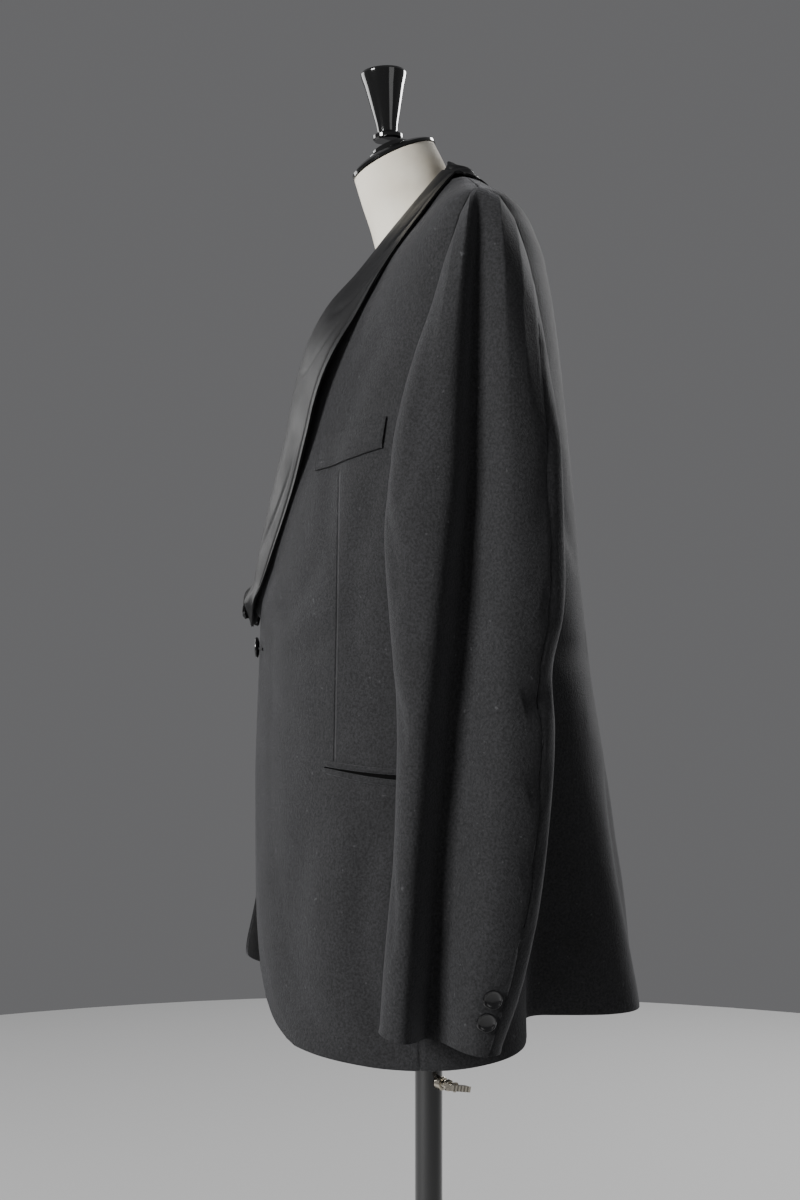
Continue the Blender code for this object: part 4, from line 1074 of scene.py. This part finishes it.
UPRIGHT = Matrix.Identity(4)
plate_outline = disc(0.045, FORM_FOOT - 0.006, FORM_FOOT - 0.0003, 0.0008)
plate = turned("plate_under_form", plate_outline, UPRIGHT, enamel, 96)
placed(plate, "form", "form_plate")
rod_outline = disc(ROD_RADIUS, ROD_FOOT, FORM_FOOT - 0.0063, 0.0006)
rod = turned("inner_rod", rod_outline, UPRIGHT, enamel, 96)
placed(rod, "rod", "rod")
foot_outline = table(
    "radius height",
    (BASE_RADIUS - 0.002, 0.0),
    (BASE_RADIUS, 0.002),
    (BASE_RADIUS, BASE_EDGE - 0.003),
    (BASE_RADIUS - 0.0012, BASE_EDGE - 0.0012),
    (BASE_RADIUS - 0.004, BASE_EDGE),
    (0.040, BASE_TOP - 0.004),
    (0.032, BASE_TOP - 0.0012),
    (0.026, BASE_TOP),
)
placed(turned("round_foot", foot_outline, UPRIGHT, enamel, 128), "stand", "base")


def spun(name, outline, place, material, steps=96):
    """A closed outline turned once round its axis, such as a tube's wall."""
    bm = bmesh.new()
    corners = [bm.verts.new((radius, 0, height)) for radius, height in outline]
    loop = [bm.edges.new((a, b)) for a, b in zip(corners, corners[1:] + corners[:1])]
    bmesh.ops.spin(
        bm,
        geom=corners + loop,
        cent=(0, 0, 0),
        axis=(0, 0, 1),
        angle=math.tau,
        steps=steps,
        use_merge=True,
    )
    bmesh.ops.transform(bm, matrix=place, verts=bm.verts[:])
    return finish(name, bm, material)


tube_wall = (
    (TUBE_RADIUS, BASE_TOP + 0.0003),
    (TUBE_RADIUS, TUBE_TOP - 0.0006),
    (TUBE_RADIUS - 0.0005, TUBE_TOP),
    (TUBE_BORE + 0.0003, TUBE_TOP),
    (TUBE_BORE, TUBE_TOP - 0.0004),
    (TUBE_BORE, BASE_TOP + 0.0003),
)
placed(spun("outer_tube", tube_wall, UPRIGHT, enamel), "stand", "stand_tube")
print("the tube is", TUBE_RADIUS * 2000, "mm across")

# %% [markdown]
# The clamp screw is nickel: a boss on the tube, a shank with a collar, and a flat grip with
# grooves across its upper face.

# %%
across_tube = Matrix.Translation((0, 0, SCREW_HEIGHT)) @ Matrix.Rotation(SCREW_TURN, 4, "Z")
across_tube = across_tube @ Matrix.Rotation(math.radians(90), 4, "Y")
boss_wall = (
    (0.0038, TUBE_RADIUS - 0.0002),
    (0.0060, TUBE_RADIUS - 0.0002),
    (0.0060, 0.0180),
    (0.0055, 0.0185),
    (0.0038, 0.0185),
)
placed(spun("nickel_boss", boss_wall, across_tube, nickel, 64), "stand", "screw_boss")


def screw_outline():
    """The shank with turned rings where it wears its thread, then the collar and the neck."""
    rows = [(0.0026, 0.0102)]
    for i in range(9):
        foot = 0.0106 + i * 0.0013
        rows += [(0.0026, foot), (0.0031, foot + 0.0005), (0.0026, foot + 0.0010)]
    rows += [(0.0030, 0.0228), (0.0046, 0.0231), (0.0052, 0.0237), (0.0052, 0.0256)]
    rows += [(0.0046, 0.0262), (0.0033, 0.0266), (0.0036, 0.0300), (0.0045, 0.0330)]
    return table("radius height", *rows)


def grip_outline():
    """The grip seen from its edge, as places along it and out from it, with five V grooves."""
    half, low, high = 0.0130, -0.00375, 0.00375
    rows = [(-half, low), (-half, high)]
    for middle in np.linspace(-0.0088, 0.0088, 5):
        rows += [(middle - 0.0011, high), (middle, high - 0.0012), (middle + 0.0011, high)]
    return rows + [(half, high), (half, low)]


screw = turned("nickel_screw", screw_outline(), across_tube, nickel, 64)
bm = bmesh.new()
bm.from_mesh(screw.data)
lie = across_tube @ Matrix.Rotation(math.radians(-15), 4, "Z") @ Matrix.Translation((0, 0, 0.0362))
corners = [bm.verts.new(lie @ Vector((-0.0025, along, out))) for along, out in grip_outline()]
face = bm.faces.new(corners)
pulled = bmesh.ops.extrude_face_region(bm, geom=[face])
moved = [item for item in pulled["geom"] if isinstance(item, bmesh.types.BMVert)]
bmesh.ops.translate(bm, verts=moved, vec=(lie.to_3x3() @ Vector((0.005, 0, 0))))
bmesh.ops.recalc_face_normals(bm, faces=bm.faces[:])
shaded(bm)
bm.to_mesh(screw.data)
bm.free()
placed(screw, "thumb_screw", "thumb_screw")
print("the grip is 26 mm long at", SCREW_HEIGHT, "m")

# %% [markdown]
# ## The body of the jacket
#
# Each panel is drawn between its two seams, finely enough to take the creases. A seam's edge dips
# a little, as pressed wool does.

# %%
def seam_dip(share, width):
    """A pressed dip along both long edges of a panel, share of the way across it."""
    edge = np.minimum(share, 1 - share) * width
    return -0.0008 * np.exp(-((edge / 0.0022) ** 2))


CREEP = 0.40  # share by which the outer columns of a panel lie closer together than even ones


def crept(columns):
    """Shares across a panel, closer together at its edges."""
    even = np.linspace(0, 1, columns + 1)
    return even - CREEP * np.sin(math.tau * even) / math.tau


SEED = 1.0  # one seed for every panel, so that they meet at their seams
SEWN_GAP = 0.0001  # what is left between two sewn panels


def panel_grid(side, levels, edges, columns, width, armhole_edge, shape=None, open_edge=False):
    """The outer points of a panel, with its creases laid in."""
    shape = shape or (lambda angle, level: body_point(side, angle, level))
    share = crept(columns)
    starts, ends = (np.broadcast_to(edge, levels.shape) for edge in edges(levels))
    pace = surface_step(shape, (starts + ends) / 2, levels)
    inset = SEWN_GAP / 2 / np.maximum(pace, 1e-5)
    span = ends - starts - 2 * inset
    angle = (starts + inset)[:, None] + span[:, None] * share
    hem = smooth(np.abs(angle), HEM["angle"], HEM["height"])
    low = np.clip(1 - (levels - 0.74) / 0.16, 0, 1)[:, None]
    level = levels[:, None] + (hem - 0.74) * low
    relief = folds(BODY_FOLDS, side, angle, level, DEGREE_ROUND)
    relief += uneven(shape(angle, level), SEED)
    sewn_in = np.abs(share - armhole_edge) * width / 0.014
    relief *= np.maximum(np.clip(sewn_in, 0, 1), np.clip((1.23 - level) / 0.03, 0, 1))
    if open_edge:  # the front edge keeps its place, where one front laps the other
        relief *= np.clip((angle - angle[:, :1]) / 14, 0, 1)
        relief += seam_dip(np.clip(share, 0.5, 1), width)
    else:
        relief += seam_dip(share, width)
    relief *= np.clip((1.463 - level) / 0.02, 0.2, 1)
    return moved_out(shape, angle, level, relief * side)


# Each call gives the panel's columns, about how wide it is in metres, and which of its long edges,
# 0 or 1, runs up the armhole (2 is neither).
panels = {}
for side, word in ((LEFT, "left"), (RIGHT, "right")):

    def side_edges(level):
        return smooth_seam(level, "front"), smooth_seam(level, "back")

    def back_edges(level):
        return smooth_seam(level, "back"), 180.0

    rows = finer(BODY_LEVELS, 6)
    low_rows = finer(np.append(SKIRT_LEVELS, FOLD_LEVELS), 6)
    grid = panel_grid(side, rows, front_edges(side), 92, 0.30, 1, front_shape(side), True)
    panels["front_" + word] = wall("front_panel_" + word, grid, inner_face(grid, CLOTH, side), front_wool)
    grid = panel_grid(side, low_rows, side_edges, 30, 0.12, 2)
    panels["side_" + word] = wall("side_panel_" + word, grid, inner_face(grid, CLOTH, side), black_wool)
    grid = panel_grid(side, rows, back_edges, 72, 0.24, 0)
    panels["back_" + word] = wall("back_panel_" + word, grid, inner_face(grid, CLOTH, side), black_wool)
tell(panels)

# %% [markdown]
# ## The sleeves
#
# A sleeve has a top piece and an under piece. Below the vent the top piece laps over the under
# one. The armhole's edge is eased, so that it has small puckers.

# %%
def spread_round(start, end, columns):
    """Places round a sleeve, closer together where it turns at its front and back."""
    share = np.linspace(start, end, columns + 1)
    return share + 9 * np.sin(np.radians(2 * share))


HEAD_ROWS, HANG_ROWS = 49, 97  # rows of the sleeve's head, and of what hangs below it
ARMHOLE_EASE = 0.0007  # how far the head reaches over the armhole's gap
VENT_HEAD = 0.862  # height where the cuff's vent starts
VENT_SHIFT = 7.0  # degrees that the lapped edge stands forward of the seam
LAP = 0.0016  # how far the two layers of the vent stand apart, before their shares


def vent(heights):
    """1 on the vent and 0 above it."""
    return np.clip((VENT_HEAD + 0.006 - heights) / 0.012, 0, 1)


def sleeve_grid(side, start, end, columns, is_top, seed):
    """The outer points of one piece of a sleeve."""
    rows = np.concatenate([np.linspace(0, 1, HEAD_ROWS), 1 + np.linspace(0, 1, HANG_ROWS)[1:]])
    angle, along = np.meshgrid(spread_round(start + 0.04, end - 0.04, columns), rows)
    heights = SLEEVE_HEAD - np.clip(along - 1, 0, 1) * (SLEEVE_HEAD - CUFF_HEIGHT)
    hindarm = (angle - start) / (end - start) if is_top else (end - angle) / (end - start)
    angle = angle - VENT_SHIFT * vent(heights) * np.clip(hindarm, 0, 1) ** 3

    def shape(a, b):
        return sleeve_point(side, a, b)

    flat = shape(angle, along)
    outer_side = np.clip(np.sin(np.radians(angle + 12)) * 2.5, 0, 1)
    relief = folds(SLEEVE_FOLDS, side, (angle + 40) % 360 - 40, hang(along), SLEEVE_DEGREE)
    relief += uneven(flat, seed) * 1.3
    pucker = np.exp(-((along / 0.10) ** 2)) * np.clip(np.sin(np.radians(angle)), 0, 1)
    relief += 0.0003 * pucker * np.sin(np.radians(angle) * 19 + side)
    relief *= outer_side * np.clip(along / 0.12, 0, 1)
    near_vent = np.clip((hindarm - 0.80) / 0.14, 0, 1) * vent(heights)
    relief += (LAP * 0.6 if is_top else -LAP * 0.7) * near_vent
    long_edge = np.minimum(angle - angle[:, :1], angle[:, -1:] - angle) * SLEEVE_DEGREE
    relief -= 0.0008 * np.exp(-((long_edge / 0.002) ** 2)) * (1 - near_vent)
    grid = moved_out(shape, angle, along, -relief * side, (0.5, 0.004))
    up = grid[0] - grid[1]  # the head is eased up to the armhole's edge
    grid[0] += up / np.linalg.norm(up, axis=-1, keepdims=True) * ARMHOLE_EASE
    return grid


sleeves = {}
for side, word in ((LEFT, "left"), (RIGHT, "right")):
    grid = sleeve_grid(side, FOREARM_SEAM, HINDARM_SEAM, 110, True, 2.0 + side)
    sleeves["sleeve_top_" + word] = wall(
        "top_sleeve_" + word, grid, inner_face(grid, CLOTH, -side), black_wool
    )
    grid = sleeve_grid(side, HINDARM_SEAM, 360 + FOREARM_SEAM, 56, False, 5.0 + side)
    sleeves["sleeve_under_" + word] = wall(
        "under_sleeve_" + word, grid, inner_face(grid, CLOTH, -side), black_wool
    )
tell(sleeves)

# %% [markdown]
# ## The shawl collar
#
# The satin is drawn from the same rows as its solid, then rounded between them. It has a stitched
# band along its outer edge, and slanting creases where it bends round the neck.

# %%
COLLAR_FOLDS = table(
    "side turn_a down_a turn_b down_b width depth",
    (1, 8, 0.800, 60, 0.720, 0.0060, -0.0012),
    (1, 14, 0.740, 66, 0.655, 0.0052, -0.0010),
    (1, 6, 0.690, 52, 0.600, 0.0060, -0.0011),
    (1, 20, 0.600, 70, 0.520, 0.0070, -0.0009),
    (1, 30, 0.860, 74, 0.800, 0.0050, -0.0010),
    (1, 20, 0.380, 60, 0.260, 0.0120, -0.0010),
    (-1, 10, 0.790, 62, 0.705, 0.0058, -0.0011),
    (-1, 8, 0.710, 58, 0.630, 0.0062, -0.0011),
    (-1, 18, 0.620, 66, 0.550, 0.0060, -0.0009),
    (-1, 28, 0.850, 72, 0.790, 0.0052, -0.0010),
    (-1, 18, 0.350, 62, 0.250, 0.0130, -0.0010),
)
BAND = 0.0045  # width of the band along the collar's outer edge


def along_rows(coarse, count):
    """A grid made finer along its rows by a smooth curve through them."""
    at = np.linspace(0, len(coarse) - 1, count)
    whole = np.arange(len(coarse), dtype=float)
    flat = coarse.reshape(len(coarse), -1)
    found = np.stack([smooth(at, whole, flat[:, i]) for i in range(flat.shape[1])], 1)
    return found.reshape((count,) + coarse.shape[1:])


def collar_sheet(side):
    """The outer and inner points of one half of the collar, with its creases laid in."""
    coarse, out = collar_grid(side)
    steps = np.linalg.norm(np.diff(coarse, axis=1), axis=-1).mean(0)
    length = np.concatenate([[0], np.cumsum(steps)])
    places = np.sort(
        np.concatenate(
            [np.linspace(0, length[4], 34), np.linspace(length[4], length[7], 17)[1:], [0.004, 0.005]]
        )
    )
    rows = along_rows(coarse, 160)
    across = np.stack(
        [
            np.stack([smooth(places, length, row[:, i]) for i in range(3)], -1)
            for row in rows
        ]
    )
    normal = np.cross(np.gradient(across, axis=1), np.gradient(across, axis=0))
    normal /= np.maximum(np.linalg.norm(normal, axis=-1, keepdims=True), 1e-12)
    outward_sign = np.sign(np.sum(normal[:, 6].mean(0) * out.mean(0)))
    share = places / length[4]
    turn, down = np.meshgrid(share * 80, np.linspace(0, 1, len(rows)))
    fall = np.clip((1.0 - share) * 6, 0, 1)
    relief = folds(COLLAR_FOLDS, side, turn, down, 0.0045)
    ends = np.clip(np.minimum(down, 1.02 - down) * 12, 0, 1)
    relief = relief * fall * ends
    relief = relief - 0.0007 * np.exp(-(((places - BAND) / 0.0007) ** 2)) * ends
    across = across + normal * (relief * outward_sign)[..., None]
    inner = inner_face(across, SATIN, outward_sign)
    across[-1, :, 0] = inner[-1, :, 0] = side * SEAM / 2
    return across, inner


collars = {}
for side, word in ((LEFT, "left"), (RIGHT, "right")):
    outer, inner = collar_sheet(side)
    collars["lapel_" + word] = wall("shawl_collar_" + word, outer, inner, black_satin)
tell(collars)

# %% [markdown]
# ## Welt, pockets and buttonhole
#
# What lies on a front is made from the front's own points, moved out.

# %%
def place_at(side, y, z):
    """The angle and the level where the body's surface has this height and this depth."""
    level, angle = z, 60.0
    for _ in range(30):
        point = body_point(side, np.array(angle), np.array(level))
        level += z - point[2]
        ahead = body_point(side, np.array(angle + 0.5), np.array(level))
        angle += 0.5 * (y - point[1]) / max(ahead[1] - point[1], 1e-5)
        angle = min(max(angle, 5.0), 95.0)
    return angle, level


def front_with_creases(side):
    """The front's surface with its creases, for what lies on it."""
    shape = front_shape(side)
    edges = front_edges(side)

    def creased(angle, level):
        flat = shape(angle, level)
        relief = folds(BODY_FOLDS, side, angle, level, DEGREE_ROUND) + uneven(flat, SEED)
        relief = relief * np.clip((angle - edges(level)[0]) / 14, 0, 1)
        return moved_out(shape, angle, level, relief * side)

    return creased


def strip(name, side, top, bottom, columns, height, rounding, material, lift=LIFT):
    """A strip on the front between two lists of depth and height, flat or rounded like a cord."""
    shape = front_with_creases(side)
    share = np.linspace(0, 1, columns + 1)

    def edge(corners):
        found = np.array([place_at(side, y, z) for y, z in corners])
        at = np.linspace(0, 1, len(corners))
        return np.stack([smooth(share, at, found[:, 0]), smooth(share, at, found[:, 1])], -1)

    lower, upper = edge(bottom), edge(top)
    rise = np.linspace(0, 1, 9)
    angle = lower[:, 0] + (upper[:, 0] - lower[:, 0]) * rise[:, None]
    level = lower[:, 1] + (upper[:, 1] - lower[:, 1]) * rise[:, None]
    bulge = 1 - rounding * (2 * rise - 1) ** 2
    outer = moved_out(shape, angle, level, (lift + height * bulge)[:, None] * side * np.ones(angle.shape))
    inner = moved_out(shape, angle, level, lift * side * np.ones(angle.shape))
    return wall(name, outer, inner, material)


WELT_TOP = ((-0.0900, 1.2370), (-0.0640, 1.2400), (-0.0360, 1.2470))
WELT_FOOT = ((-0.0960, 1.2080), (-0.0680, 1.2145), (-0.0405, 1.2220))
welt = strip("breast_welt", LEFT, WELT_TOP, WELT_FOOT, 48, 0.0018, 0.15, black_wool)
sewn(welt, "welt")
JETS = {
    "jet_upper": (
        ((-0.0870, 0.9700), (-0.0300, 0.9665), (0.0300, 0.9655)),
        ((-0.0872, 0.9655), (-0.0300, 0.9620), (0.0300, 0.9615)),
    ),
    "jet_lower": (
        ((-0.0872, 0.9645), (-0.0300, 0.9582), (0.0300, 0.9590)),
        ((-0.0870, 0.9600), (-0.0300, 0.9528), (0.0300, 0.9540)),
    ),
}
for side, word in ((LEFT, "left"), (RIGHT, "right")):
    for node, (top, foot) in JETS.items():
        jet = strip(f"cord_{node}_{word}", side, top, foot, 60, 0.0016, 0.75, black_wool)
        sewn(jet, f"{node}_{word}")
    # The mouth is a thin near-black sheet laid on the front between the jets: painted shade for the
    # opening, over the black lining.
    mouth = strip(
        f"pocket_mouth_{word}",
        side,
        JETS["jet_upper"][1],
        JETS["jet_lower"][0],
        60,
        0.0002,
        0.0,
        lining_and_painted_shade,
        0.00015,
    )
    placed(mouth, "form")
print("welt and pockets are on")

# %%
def button(name, radius, thickness, place):
    """A disc with a raised rim and a dished face."""
    outline = table(
        "radius height",
        (radius * 0.55, 0.0),
        (radius * 0.90, thickness * 0.25),
        (radius * 0.985, thickness * 0.48),
        (radius, thickness * 0.66),
        (radius * 0.985, thickness * 0.84),
        (radius * 0.94, thickness * 0.97),
        (radius * 0.88, thickness),
        (radius * 0.82, thickness * 0.95),
        (radius * 0.76, thickness * 0.78),
        (radius * 0.60, thickness * 0.66),
        (radius * 0.20, thickness * 0.60),
    )
    return turned(name, outline, place, horn, 64)


lie_on_front = Matrix.Rotation(math.radians(90), 4, "X")
button_spot = front_shape(LEFT)(np.array(angle_at(1.057, 0.002)), np.array(1.057))
front_button = button(
    "front_button", 0.0095, 0.0035, Matrix.Translation(button_spot + [0, -0.0006, 0]) @ lie_on_front
)
placed(front_button, "form", "button_front")
for side, word in ((LEFT, "left"), (RIGHT, "right")):
    for i, along in enumerate((1.902, 1.940), 1):
        here = sleeve_point(side, np.array(119.0), np.array(along))
        ahead = sleeve_point(side, np.array(120.0), np.array(along)) - here
        down = sleeve_point(side, np.array(119.0), np.array(along + 0.01)) - here
        normal = Vector(np.cross(down, ahead)).normalized()
        if normal.x * side < 0:
            normal = -normal
        turn = normal.to_track_quat("Z", "Y").to_matrix().to_4x4()
        place = Matrix.Translation(Vector(here) + normal * 0.0014) @ turn
        made = button(f"cuff_button_{word}_{i}", 0.0075, 0.0032, place)
        placed(made, "form", f"button_cuff_{word}_{i}")


def buttonhole():
    """A row of silk stitches round a slit, running from the button towards the side."""
    across = np.linspace(0.013, 0.032, 40)
    start = np.array([angle_at(1.0565, x) for x in across])
    rise = np.linspace(-0.0011, 0.0011, 9)
    angle, level = np.meshgrid(start, 1.0565 + rise)
    ridge = 1 - np.abs(np.abs(rise) - 0.0006) / 0.0006
    height = LIFT + 0.0006 * np.clip(ridge, 0, 1)[:, None] * np.ones(angle.shape)
    shape = front_with_creases(LEFT)
    outer = moved_out(shape, angle, level, height)
    inner = moved_out(shape, angle, level, 0.0001 * np.ones(angle.shape))
    return wall("buttonhole", outer, inner, silk)


placed(buttonhole(), "form")
print("five buttons and a buttonhole are on")

# %% [markdown]
# ## Putting the cloth on the form
#
# Each panel, sleeve piece and half of the collar rides on the form and stands for its solid.

# %%
for node, piece in {**panels, **sleeves, **collars}.items():
    sewn(piece, node)

# %% [markdown]
# ## Light, floor and camera
#
# The key light is large and comes from the jacket's front, on the camera's side. A weak fill and
# an even grey world keep the back readable.

# %%
def lamp(name, place, target, size, power):
    """A square soft light of this size in metres and power in watts, aimed at the target."""
    data = bpy.data.lights.new(name, "AREA")
    data.size = size
    data.energy = power
    made = bpy.data.objects.new(name, data)
    made.location = place
    aim = Vector(target) - Vector(place)
    made.rotation_euler = aim.to_track_quat("-Z", "Y").to_euler()
    bpy.context.scene.collection.objects.link(made)
    return made


LAMPS = (
    ("key light", (2.0, -2.5, 2.1), (0, 0, 1.15), 1.1, 175),
    ("fill light", (2.6, 2.4, 1.4), (0, 0, 1.1), 1.6, 8),
    ("back light", (-2.4, 1.8, 2.4), (0, 0, 1.2), 1.6, 95),
    ("front light", (-1.8, -2.6, 1.9), (0, 0, 1.1), 1.6, 28),
)
for lamp_row in LAMPS:
    lamp(*lamp_row)

world = bpy.data.worlds.new("even grey studio")
world.use_nodes = True
world.node_tree.nodes["Background"].inputs["Color"].default_value = linear("#a4a4a6")
world.node_tree.nodes["Background"].inputs["Strength"].default_value = 0.38
bpy.context.scene.world = world

bm = bmesh.new()
bmesh.ops.create_circle(bm, cap_ends=True, radius=3.0, segments=128)
floor_mesh = bpy.data.meshes.new("floor")
bm.to_mesh(floor_mesh)
bm.free()
floor_mesh.materials.append(plain("pale floor", "#bdbdbd", Roughness=0.7))
floor = bpy.data.objects.new("floor", floor_mesh)
bpy.context.scene.collection.objects.link(floor)

camera_data = bpy.data.cameras.new("camera")
camera_data.lens = 48.06
camera_data.sensor_width = 36
camera = bpy.data.objects.new("camera", camera_data)
camera.location = (1.45, -0.026, 1.10)
camera.rotation_euler = (math.radians(90), 0, math.radians(90))
bpy.context.scene.collection.objects.link(camera)
bpy.context.scene.camera = camera
print("camera at", tuple(camera.location))
